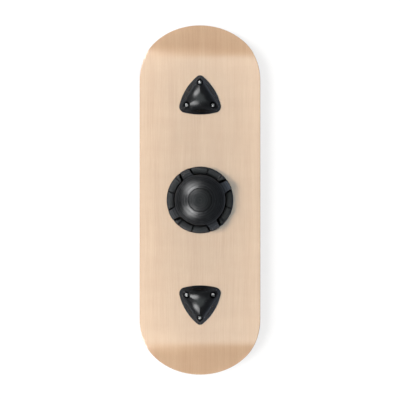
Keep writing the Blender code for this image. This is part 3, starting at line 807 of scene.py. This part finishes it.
def ring_section(inside, outside, step):
    """One cross-section of the ring, from its bore out over the step to its back."""
    mean = (inside + outside) / 2
    top = STEP_TOP_Z + STEP_DROP * step
    face, end, wall, rim, c = RING_FACE_Z, SLEEVE_END_Z, RING_INNER_RADIUS, RING_RADIUS, RING_CORNER
    inner, outer = SLEEVE_RADII
    path = (
        (mean, ((RING_BORE, face), (inner, face), (inner, end + c / 2), (inner + c / 2, end),
                (outer - c / 2, end), (outer, end + c / 2), (outer, face), ((outer + wall) / 2, face))),
        (inside, ((wall, face), (wall, top + c),
                  (wall + MID_ROUND * c, top + MID_ROUND * c), (wall + c, top))),
        (mean, (((wall + rim) / 2, top),)),
        (outside, ((rim - RING_CHAMFER - c, top), (rim - RING_CHAMFER + 0.3 * c, top + 0.5 * c),
                   (rim - 0.5 * c, top + RING_CHAMFER - 0.3 * c), (rim, top + RING_CHAMFER + 0.6 * c),
                   (rim, BACK_Z))),
        (mean, ((RING_BORE, BACK_Z),)))
    return [polar(radius, angle, z) for angle, points in path for radius, z in points]


ring_points = []
for lug in range(LUG_COUNT):
    centre = LUG_ANGLE - math.tau * lug / LUG_COUNT
    for inside, outside, step in step_sections():
        ring_points += ring_section(centre - math.radians(inside), centre - math.radians(outside), step)
section_points = len(ring_section(0, 0, 0))
all_quads = ring_faces(len(ring_points) // section_points, section_points, closed=True)
stepped_ring = piece_from("stepped_ring", ring_points, all_quads, ring_satin)
belongs(stepped_ring, "deck", "ring_plastic", "step_ring")

# %% [markdown]
# ## The dome
# The dome is part of a ball of 100 mm radius, cut to a round outline with four lugs. Its softly
# rounded rim catches light all round the notches. To round a rim whose outline turns in and out, the
# mesh steps in from the outline along the outline's own normal. Then its rows blend from there to a
# circle, and run on as circles to the seat of the round pad and over the inside. A Bevel modifier on
# a coarser mesh could round the rim, but would pinch where the lugs meet the body.

# %% Outline of the dome with its four lugs
DOME_CURVE = 0.100
DOME_BODY_RADIUS = 0.0565
CONTACT_RADIUS = 0.009
SPHERE_Z = math.sqrt(DOME_CURVE ** 2 - CONTACT_RADIUS ** 2)
LUG_HALF_WIDTH = 0.0112
LUG_FILLET = 0.0040
LUG_CORNER = 0.0014
# Steps in each stretch of the outline, from a lug's middle to a notch's.
END_STEPS, CORNER_STEPS, FLANK_STEPS, FILLET_STEPS, NOTCH_STEPS = 4, 4, 6, 8, 12


def dome_z(radius, curve=DOME_CURVE):
    """Height of the dome's outside at a radius, or of its inside with a smaller curve."""
    return SPHERE_Z - math.sqrt(curve ** 2 - radius ** 2)


def lug_half():
    """(across, out) points from the middle of a lug's end to the middle of the next notch."""
    reach = LUG_HALF_WIDTH - LUG_CORNER
    end = math.asin(reach / RING_RADIUS)
    corner_out = math.sqrt((RING_RADIUS - LUG_CORNER) ** 2 - reach ** 2)
    across = LUG_HALF_WIDTH + LUG_FILLET
    out = math.sqrt((DOME_BODY_RADIUS + LUG_FILLET) ** 2 - across ** 2)
    finish = math.atan2(across, out)
    tip = [polar(RING_RADIUS, a)[::-1] for a in spread(0, end, END_STEPS)[:-1]]
    corner = [(reach + LUG_CORNER * math.sin(a), corner_out + LUG_CORNER * math.cos(a))
              for a in spread(end, math.pi / 2, CORNER_STEPS)]
    flank = [(LUG_HALF_WIDTH, v) for v in spread(corner_out, out, FLANK_STEPS)[1:-1]]
    fillet = [(across + LUG_FILLET * math.cos(a), out + LUG_FILLET * math.sin(a))
              for a in spread(math.pi, math.pi * 1.5 - finish, FILLET_STEPS)]
    notch = [polar(DOME_BODY_RADIUS, a)[::-1] for a in spread(finish, math.pi / LUG_COUNT, NOTCH_STEPS)[1:]]
    return tip + corner + flank + fillet + notch


def dome_outline():
    half = lug_half()
    whole = [(-u, v) for u, v in reversed(half[1:-1])] + half
    turns = [Matrix.Rotation(LUG_ANGLE + math.tau * lug / LUG_COUNT, 2) for lug in range(LUG_COUNT)]
    return [turn @ Vector((v, u)) for turn in turns for u, v in whole]


def drawn_in(outline, distance):
    """The outline moved inwards along its own normals."""
    inward = []
    for i, point in enumerate(outline):
        along = (outline[(i + 1) % len(outline)] - outline[i - 1]).normalized()
        inward.append(point + Vector((-along.y, along.x)) * distance)
    return inward


print("points round the dome:", len(dome_outline()))

# %% Rows of the dome's mesh
RIM_ROUND = 0.0013
RIM_STEPS = 5
LUG_BACK_Z = STEP_TOP_Z - GAP
SKIRT_RADIUS = 0.0560
SKIRT_TOP_Z = 0.0455
DOME_WALL = 0.005
DOME_FLOOR_Z = 0.011
DOME_FLOOR_RADIUS = 0.034
HUB_RADIUS = 0.016
HUB_BORE = 0.013
HUB_TOP_Z = 0.045
HUB_FLANGE_Z = 0.041
WASHER_BORE = 0.0053
PAD_RADIUS = 0.0259
PAD_BACK_Z = 0.0063
PAD_EDGE = 0.0004
BLEND_RADIUS = 0.0525
BLEND_STEPS = 8
FACE_STEPS = 9


def rim_rows(outline):
    """From the lugs' back over the rounded rim to the ball's surface."""
    rows = [[(p.x, p.y, LUG_BACK_Z) for p in outline]]
    for turn in spread(0, math.pi / 2, RIM_STEPS):
        lift = RIM_ROUND * (1 - math.sin(turn))
        inward = drawn_in(outline, RIM_ROUND * (1 - math.cos(turn)))
        rows.append([(p.x, p.y, dome_z(p.length) + lift) for p in inward])
    return rows


def blend_rows(outline, first):
    """Rows that turn the lobed outline into a circle with even points, all on the ball."""
    start = drawn_in(outline, RIM_ROUND)
    rows = []
    for part in spread(0, 1, BLEND_STEPS)[1:]:
        row = []
        for i, point in enumerate(start):
            own = (math.atan2(point.y, point.x) - first) % math.tau
            even = math.tau * i / len(start)
            radius = point.length + (BLEND_RADIUS - point.length) * part
            row.append(polar(radius, first + own + (even - own) * part, dome_z(radius)))
        rows.append(row)
    return rows


def dome_points():
    """Its points row by row, and how many a row has."""
    outline = dome_outline()
    seat, inside = PAD_RADIUS + GAP, SKIRT_RADIUS - DOME_WALL
    face = spread(seat + PAD_EDGE, BLEND_RADIUS, FACE_STEPS)[-2::-1]
    face.insert(-1, seat + 2 * PAD_EDGE)
    inner_ball = DOME_CURVE - DOME_WALL
    middle = (inside + DOME_FLOOR_RADIUS) / 2
    profile = [(r, dome_z(r)) for r in face] + [
        (seat + MID_ROUND * PAD_EDGE, dome_z(seat) + MID_ROUND * PAD_EDGE), (seat, dome_z(seat) + PAD_EDGE),
        (seat, PAD_BACK_Z + GAP), (HUB_BORE, PAD_BACK_Z + GAP), (HUB_BORE, HUB_FLANGE_Z),
        (WASHER_BORE + GAP, HUB_FLANGE_Z), (WASHER_BORE + GAP, HUB_TOP_Z), (HUB_RADIUS, HUB_TOP_Z),
        (HUB_RADIUS, DOME_FLOOR_Z), (DOME_FLOOR_RADIUS, DOME_FLOOR_Z), (middle, dome_z(middle, inner_ball)),
        (inside, dome_z(inside, inner_ball)), (inside, SKIRT_TOP_Z), (SKIRT_RADIUS, SKIRT_TOP_Z),
        (SKIRT_RADIUS, LUG_BACK_Z)]
    rim_end = drawn_in(outline, RIM_ROUND)[0]
    lobed = rim_rows(outline) + blend_rows(outline, math.atan2(rim_end.y, rim_end.x))
    circles = circle_rows(profile, len(outline), math.atan2(outline[0].y, outline[0].x))
    return [point for row in lobed for point in row] + circles, len(outline)

# %% [markdown]
# Inside, eight ribs tie the dome's hub to its skirt. They can't be seen on the standing board, but
# the piece may be used taken apart, so a Boolean joins them on as in the solid.

# %% Dome shell with its ribs
RIB_COUNT = 8
RIB_HALF = 0.0015
RIB_TOP_Z = 0.040
RIB_INNER_TOP_Z = 0.026
RIB_STEP_RADIUS = 0.0210
JOIN = 0.001  # how far two meshes overlap before a Boolean


def ribs():
    reach, inner_reach = SKIRT_RADIUS - DOME_WALL + JOIN, HUB_RADIUS - JOIN
    section = [(inner_reach, DOME_FLOOR_Z - JOIN), (DOME_FLOOR_RADIUS, DOME_FLOOR_Z - JOIN),
               (reach, dome_z(reach, DOME_CURVE - DOME_WALL) - JOIN), (reach, RIB_TOP_Z),
               (RIB_STEP_RADIUS, RIB_TOP_Z), (RIB_STEP_RADIUS, RIB_INNER_TOP_Z),
               (inner_reach, RIB_INNER_TOP_Z)]
    size = len(section)
    points, faces = [], []
    for i in range(RIB_COUNT):
        turn = Matrix.Rotation(LUG_ANGLE + math.tau * (i + 0.5) / RIB_COUNT, 3, "Z")
        start = len(points)
        points += [turn @ Vector((r, side, z)) for side in (-RIB_HALF, RIB_HALF) for r, z in section]
        one_rib = [*ring_faces(2, size), range(size), range(size, 2 * size)]
        faces += [tuple(start + k for k in face) for face in one_rib]
    return piece_from("ribs", points, faces)


points, count = dome_points()
dome = piece_from("dome", points, ring_faces(len(points) // count, count, closed=True), dome_satin)
combine(dome, ribs(), "UNION")
belongs(dome, "dome", "dome_plastic", "dome_shell")

# %% [markdown]
# ## The round pad at the crown
# The very crown is a separate rubber disc, set into the dome and level with it, that takes the wear
# on the floor. All one sees of the joint is a thin dark line, so both pieces have a slightly rounded
# edge there. It is a plain lathe profile, flat on its lowest 18 mm, where it touches the floor.

# %% Crown pad
PAD_STEPS = 6
pad_radii = spread(CONTACT_RADIUS, PAD_RADIUS - PAD_EDGE, PAD_STEPS)
pad_radii.insert(-1, PAD_RADIUS - 2 * PAD_EDGE)
pad_profile = [(0, 0), (CONTACT_RADIUS / 2, 0), *((r, dome_z(r)) for r in pad_radii),
               (PAD_RADIUS - MID_ROUND * PAD_EDGE, dome_z(PAD_RADIUS) + MID_ROUND * PAD_EDGE),
               (PAD_RADIUS, dome_z(PAD_RADIUS) + PAD_EDGE), (PAD_RADIUS, PAD_BACK_Z), (0, PAD_BACK_Z)]
crown = turned("crown", pad_profile, count=96, finish=pad_rubber)
belongs(crown, "dome", "crown_rubber", "crown_pad")

# %% [markdown]
# ## The two stop feet
# Each foot is a hollow moulding whose outline is a rounded triangle of arcs that meet smoothly. Its
# flank slopes in, then a low crown takes over, and three screws sit in round wells. The mesh is a
# loft of that outline, drawn in and shrunk as it rises, with every ring a little rounder than the
# last, so that the crown has no ridges. The wells are cut by a Boolean, as a moulder's core pins
# would make them.

# %% Outline of a foot
FOOT_BASE_X = 0.1952
FOOT_HALF_WIDTH = 0.0475
FOOT_APEX_ROUND = 0.0105
FOOT_CORNER_ROUND = 0.014
FOOT_TURNS = (40, 77, 166)  # where the arcs of apex, side, corner and base meet, in degrees
FOOT_CENTRE_X = 0.233
ARC_POINTS = (7, 12, 12, 9)


def foot_outline(inset):
    """The rounded triangle of a foot as arcs between directions of its outward normal."""
    first, second, third = (math.radians(angle) for angle in FOOT_TURNS)
    apex, corner = FOOT_APEX_ROUND, FOOT_CORNER_ROUND
    widened = FOOT_HALF_WIDTH - apex * math.sin(first) - corner * (1 - math.sin(second))
    side = widened / (math.sin(second) - math.sin(first))
    base = (FOOT_HALF_WIDTH - corner * (1 - math.sin(third))) / math.sin(third)
    radii, turns = (apex, side, corner, base), (0, first, second, third, math.pi)
    point, half = Vector((0, 0)), []
    for low, high, radius, steps in zip(turns, turns[1:], radii, ARC_POINTS):
        centre = point - radius * Vector(polar(1, low))
        half += [centre + (radius - inset) * Vector(polar(1, a)) for a in spread(low, high, steps)[:-1]]
        point = centre + radius * Vector(polar(1, high))
    half.append(point + Vector((inset, 0)))
    outline = [p + Vector((FOOT_BASE_X - point.x, 0)) for p in half]
    return outline + [Vector((p.x, -p.y)) for p in reversed(outline[1:-1])]


def foot_ring(inset, height, scale=1.0):
    """The outline at a height off the deck, drawn in, and rounder as it shrinks to the crown."""
    centre = Vector((FOOT_CENTRE_X, 0))
    outline = [p - centre for p in foot_outline(inset)]
    mean = sum(p.length for p in outline) / len(outline)
    shrunk = [(p * scale + p.normalized() * mean * (1 - scale)) * scale + centre for p in outline]
    return [(p.x, p.y, BACK_Z - height) for p in shrunk]


print("points round a foot:", len(foot_outline(0)))

# %% Body of a foot and the wells for its screws
FOOT_RIM = 0.0015
FLANK_INSET = 0.0072
FLANK_HEIGHT = 0.0085
# (inset, height off the deck) of the flank's rings, and (height, scale) of those of the hollow.
FOOT_FLANK = (
    (0.0004, 0), (0, 0.0004), (0, FOOT_RIM), (0.0002, FOOT_RIM + 0.0006),
    *zip(spread(0, FLANK_INSET, 4)[1:-1], spread(FOOT_RIM, FLANK_HEIGHT, 4)[1:-1]),
    (FLANK_INSET - 0.0003, FLANK_HEIGHT - 0.0007))
FOOT_HOLLOW = ((0.0035, 1), (0.008, 0.86), (0.015, 0.5), (0.018, 0.2))
CROWN_HEIGHT = 0.0145
CROWN_RINGS = 14
FOOT_WALL = 0.004
WELL_SEAT = 0.006
BOSS_RADIUS = 0.010
SHANK_HOLE = 0.0026


def peg(place, *profile):
    """A round cutter along Z, whose profile of (radius, z) pairs runs upwards."""
    made = turned("peg", [(0, profile[0][1]), *profile, (0, profile[-1][1])], count=40)
    made.data.transform(Matrix.Translation((*place, 0)))
    return made


def foot(name, turn, finish):
    """A hollow foot with three screw wells, turned about Z to point to its end of the board."""
    shape = [foot_ring(*level) for level in FOOT_FLANK]
    for scale in (math.cos(a) for a in spread(0, math.pi / 2, CROWN_RINGS)[:-1]):
        shape.append(foot_ring(FLANK_INSET, FLANK_HEIGHT + CROWN_HEIGHT * (1 - scale ** 2), scale))
    made = closed_loft(name, shape, finish)
    low, high, seat = BACK_Z - FLANK_HEIGHT - CROWN_HEIGHT - JOIN, BACK_Z + 2 * JOIN, BACK_Z - WELL_SEAT
    levels = [foot_ring(FLANK_INSET, height, scale) for height, scale in FOOT_HOLLOW]
    hollow = closed_loft("hollow", [foot_ring(FOOT_WALL, -JOIN), *levels])
    for place in FOOT_SCREWS:
        combine(hollow, peg(place, (BOSS_RADIUS, low), (BOSS_RADIUS, high)), "DIFFERENCE")
    combine(made, hollow, "DIFFERENCE")
    for place in FOOT_SCREWS:
        well = peg(place, (WELL_RADIUS, low), (WELL_RADIUS, seat), (SHANK_HOLE, seat), (SHANK_HOLE, high))
        combine(made, well, "DIFFERENCE")
    made.data.transform(Matrix.Rotation(turn, 4, "Z"))
    return made


front_stop = foot("front_stop", 0, foot_gloss)
belongs(front_stop, "deck", "foot_plastic", "front_foot")
rear_stop = foot("rear_stop", math.pi, foot_gloss)
belongs(rear_stop, "deck", "foot_plastic", "rear_foot")

# %% [markdown]
# ## Pan head screws
# Six bright screws hold the feet. Each has a low domed head with a cross recess that narrows as it
# goes in. One mesh is made by lathe profile and Boolean, and each screw is a copy in its place,
# turned by its own angle, because no one drives six screws to the same angle.

# %% Screws of the feet
HEAD_RADIUS = 0.0048
HEAD_HEIGHT = 0.0031
HEAD_ANGLES = (8, 18, 30, 42, 54, 66, 76, 84)  # degrees, from the head's middle to its edge
HEAD_FLATNESS = 0.6
HEAD_LIP = 0.0004
HEAD_CORNER = 0.0002
TIP_TAPER = 5
SHANK_RADIUS = 0.0020
SCREW_POINT = 0.003
SCREW_TIP_Z = 0.0708
RECESS_REACH = 0.0027
RECESS_HALF = 0.0011
RECESS_LEVELS = ((1.25, -0.001), (0.55, 0.0026))  # scale of the cross, depth into the head
SCREW_TURNS = (12, 67, 35, 81, 24, 50)  # degrees


def recess_cutter(top):
    """A cross that narrows upwards, for the driver's recess."""
    levels = []
    for size, depth in RECESS_LEVELS:
        reach, half, z = RECESS_REACH * size, RECESS_HALF * size, top + depth
        spins = [Matrix.Rotation(math.pi / 2 * quarter, 3, "Z") for quarter in range(4)]
        corners = (reach, -half, z), (reach, half, z), (half, half, z)
        levels.append([spin @ Vector(corner) for spin in spins for corner in corners])
    return closed_loft("recess", levels)


def screw_mesh(finish):
    face = BACK_Z - WELL_SEAT - GAP
    turns = [math.radians(angle) for angle in HEAD_ANGLES]
    head = [(HEAD_RADIUS * math.sin(a), face - HEAD_HEIGHT * math.cos(a) ** HEAD_FLATNESS) for a in turns]
    profile = [(0, face - HEAD_HEIGHT), *head, (HEAD_RADIUS, face - HEAD_LIP),
               (HEAD_RADIUS - HEAD_CORNER, face), (SHANK_RADIUS, face),
               (SHANK_RADIUS, SCREW_TIP_Z - SCREW_POINT), (SHANK_RADIUS / TIP_TAPER, SCREW_TIP_Z),
               (0, SCREW_TIP_Z)]
    made = turned("screw", profile, count=48, finish=finish)
    combine(made, recess_cutter(face - HEAD_HEIGHT), "DIFFERENCE")
    mesh = made.data
    bpy.data.objects.remove(made, do_unlink=True)
    return mesh


pattern = screw_mesh(steels["screw_steel"])
screw_places = [(side * x, y) for side in (1, -1) for x, y in FOOT_SCREWS]
for number, ((x, y), turn) in enumerate(zip(screw_places, SCREW_TURNS), 1):
    mesh = pattern.copy()
    mesh.transform(Matrix.Translation((x, y, 0)) @ Matrix.Rotation(math.radians(turn), 4, "Z"))
    screw = piece_with(f"pan_screw_{number}", mesh, steels["screw_steel"])
    belongs(screw, "deck", "screw_steel", f"foot_screw_{number}")

# %% [markdown]
# ## Hidden metal
# The bolt, its washers, the nut, the spring and the ring's screws sit inside the dome. Their solids
# already have the right shape, so they stay, and only get their finish: a solid's material slot
# takes a new material without touching its mesh.

# %% Finishes of the hidden pieces
HIDDEN = {"bolt_steel": ["pivot_bolt", "tee_nut"], "washer_zinc": ["bolt_washer", "thrust_washer"],
          "spring_steel": ["dome_spring"], "screw_steel": [f"ring_screw_{i}" for i in range(1, 5)]}
for finish, names in HIDDEN.items():
    for name in names:
        for material_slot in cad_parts[name].material_slots:
            material_slot.material = steels[finish]
print("hidden pieces:", sum(len(names) for names in HIDDEN.values()))

# %% [markdown]
# ## Floor, backdrop and world
# The photograph looks straight at the underside, so the camera is below the floor. The floor is
# one-sided: its material asks Backfacing, and turns clear when seen from below. It is clear to
# shadow rays and gloss too, because the lamps for the underside stand below it. Seen from above it
# is a plain pale floor with the board's shadow. A second one-sided sheet, just above the deck, is
# the white paper behind the board: only a camera below sees it, with the board's soft shadow. Part
# of the white of both is their own, for the camera only, so the board gets no extra light from it.

# %% Floor and backdrop
FLOOR_SIZE = 60.0
BACKDROP_SIZE = 6.0
BACKDROP_Z = 0.104
FADE_FROM = 1.0
FADE_TO = 4.0


def paper(name, share, colour, bounces):
    """Pale matt paper, seen from its front; a share of its white, growing to all far off, is its own."""
    made = bpy.data.materials.new(name)
    w = emptied(made)
    reach = w.vector("LENGTH", w.add("TexCoord", "Object"), out="Value")
    own_share = w.remap(reach, FADE_FROM, FADE_TO, share, 1.0, smooth=True)
    lit_share = w.times(w.rest(own_share), colour)
    lit = w.add("BsdfDiffuse", Color=w.add("CombineXYZ", i0=lit_share, i1=lit_share, i2=lit_share))
    own = w.add("AddShader", i0=lit, i1=w.add("Emission", Color=(1.0, 1.0, 1.0), Strength=own_share))
    path = w.node("LightPath").outputs
    shown, seen = path["Is Camera Ray"], own
    if bounces:
        seen = w.mix_shader(shown, lit, own)
        shown = w.largest(shown, path["Is Diffuse Ray"])
    shown = w.times(shown, w.rest(w.add("NewGeometry", "Backfacing")))
    w.put(w.node("OutputMaterial"), Surface=w.mix_shader(shown, w.add("BsdfTransparent"), seen))
    return made


def sheet_of_paper(name, size, z, facing_down, material):
    half = size / 2
    corners = [(-half, -half, z), (half, -half, z), (half, half, z), (-half, half, z)]
    mesh = bpy.data.meshes.new(name)
    mesh.from_pydata(corners, [], [(3, 2, 1, 0) if facing_down else (0, 1, 2, 3)])
    mesh.materials.append(material)
    made = linked(name, mesh)
    return made


floor_paper = paper("floor_paper", share=0.32, colour=0.92, bounces=True)
backdrop_paper = paper("backdrop_paper", share=0.74, colour=1.0, bounces=False)
floor = sheet_of_paper("floor", FLOOR_SIZE, 0.0, False, floor_paper)
backdrop = sheet_of_paper("backdrop", BACKDROP_SIZE, BACKDROP_Z, True, backdrop_paper)
print("stage:", floor.name, backdrop.name)

# %% [markdown]
# Gloss doesn't see that white. It sees soft boxes painted into the world: two small bright ones below
# the board's two ends, and a wide one straight below that is dimmer in its middle, as where a camera
# stands before it. A pale wall runs round the horizon.

# %% World
WHITE = (1.0, 1.0, 1.0)
AMBIENT = (0.30, 0.30, 0.30)
LOW_GLOSS = 0.35
HORIZON_GLOSS = 2.4
WALL_RISE = (-0.40, 0.05)  # the wall's light grows between these Z of the direction
WALL_SIDE = (0.0, 0.8)  # and its colour changes between these Y
WALL_COLOURS = ((0.90, 0.96, 1.04), (0.74, 0.86, 1.04))
FRONT_BOX_COLOUR = (0.89, 1.0, 0.99)
# Each box: direction, outer and inner angle in degrees, strength.
FRONT_BOX = ((0.0, 0.0, -1.0), 32, 6, 2.5)
FRONT_BOX_DIP = ((0.0, 0.0, -1.0), 12, 4, 0.45)
SOFTBOXES = (
    ((0.482, -0.383, -0.788), 19, 6, 24.0),
    ((-0.468, -0.4, -0.788), 19, 6, 23.0))


def studio_world():
    """White to the camera, an even light to matt surfaces, and the boxes and the wall to gloss."""
    world = bpy.data.worlds.new("studio")
    w = emptied(world)
    path = w.node("LightPath").outputs
    toward = w.add("TexCoord", "Generated")
    aim = w.split(toward)

    def box(direction, outer, inner, strength):
        """A round soft box; its light fades between two angles from its middle, in degrees."""
        near = w.vector("DOT_PRODUCT", toward, direction, out="Value")
        low, high = (math.cos(math.radians(angle)) for angle in (outer, inner))
        return w.remap(near, low, high, 0.0, strength, smooth=True)

    wall = w.remap(aim["Z"], *WALL_RISE, LOW_GLOSS, HORIZON_GLOSS, smooth=True)
    gloss = w.scaled(w.mix(w.remap(aim["Y"], *WALL_SIDE), *WALL_COLOURS), wall)
    front = w.scaled(FRONT_BOX_COLOUR, w.minus(box(*FRONT_BOX), box(*FRONT_BOX_DIP)))
    for light in (front, *(w.scaled(WHITE, box(*shape)) for shape in SOFTBOXES)):
        gloss = w.vector("ADD", gloss, light)
    glossy = w.largest(path["Is Glossy Ray"], path["Is Transmission Ray"])
    light = w.add("Background", Color=w.mix(glossy, AMBIENT, gloss), Strength=1.0)
    seen = w.add("Background", Color=WHITE, Strength=1.0)
    w.put(w.node("OutputWorld"), Surface=w.mix_shader(path["Is Camera Ray"], light, seen))
    return world


scene = bpy.context.scene
scene.world = studio_world()
scene.view_settings.view_transform = "Standard"
print("world:", scene.world.name)

# %% [markdown]
# ## Lamps
# Area lamps are used throughout, because their size makes the soft shadows of a studio. A wide lamp
# far below and to one side lights the underside, so the dome and the feet throw a soft shadow on the
# wood. Gloss doesn't see it, because what shines on the plastic is painted into the world instead.
# Two lamps above light the standing face.

# %% Place the lamps
def lamp(name, place, target, size, power, colour=(1.0, 1.0, 1.0), glossy=True):
    light = bpy.data.lights.new(name, "AREA")
    light.shape = "RECTANGLE"
    light.size, light.size_y = size
    light.energy = power
    light.color = colour
    made = linked(name, light)
    made.location = place
    made.rotation_euler = (Vector(target) - Vector(place)).to_track_quat("-Z", "Y").to_euler()
    made.visible_camera = False
    made.visible_glossy = glossy


lamp("under_key", (0, -6.75, -9.65), (0, 0, 0.03), (5.5, 4.25), 1150, (1.0, 0.99, 0.975), glossy=False)
lamp("upper_key", (-0.9, -1.3, 1.9), (0, 0, 0.05), (0.8, 0.8), 38)
lamp("upper_fill", (1.2, 0.9, 1.6), (0, 0, 0.05), (1.4, 1.4), 19)

# %% [markdown]
# ## Camera
# The photograph is taken square on to the underside, from about 2 m with a long lens: the screw
# wells of the two feet show a little more of the wall that is further from the middle. The board's
# length runs up the picture. So the camera is straight below the dome and looks up along +Z, with
# +X at the top of the picture and +Y at its right.

# %% Camera
CAMERA_DISTANCE = 2.0
PICTURE_WIDTH = 0.914
FACING_UP = Matrix(((0, 1, 0), (1, 0, 0), (0, 0, -1)))
view = bpy.data.cameras.new("camera")
view.lens = view.sensor_width * CAMERA_DISTANCE / PICTURE_WIDTH
scene.camera = linked("camera", view)
scene.camera.matrix_world = Matrix.Translation((0, 0, UNDERSIDE_Z - CAMERA_DISTANCE)) @ FACING_UP.to_4x4()
print("lens, mm:", round(view.lens, 1))
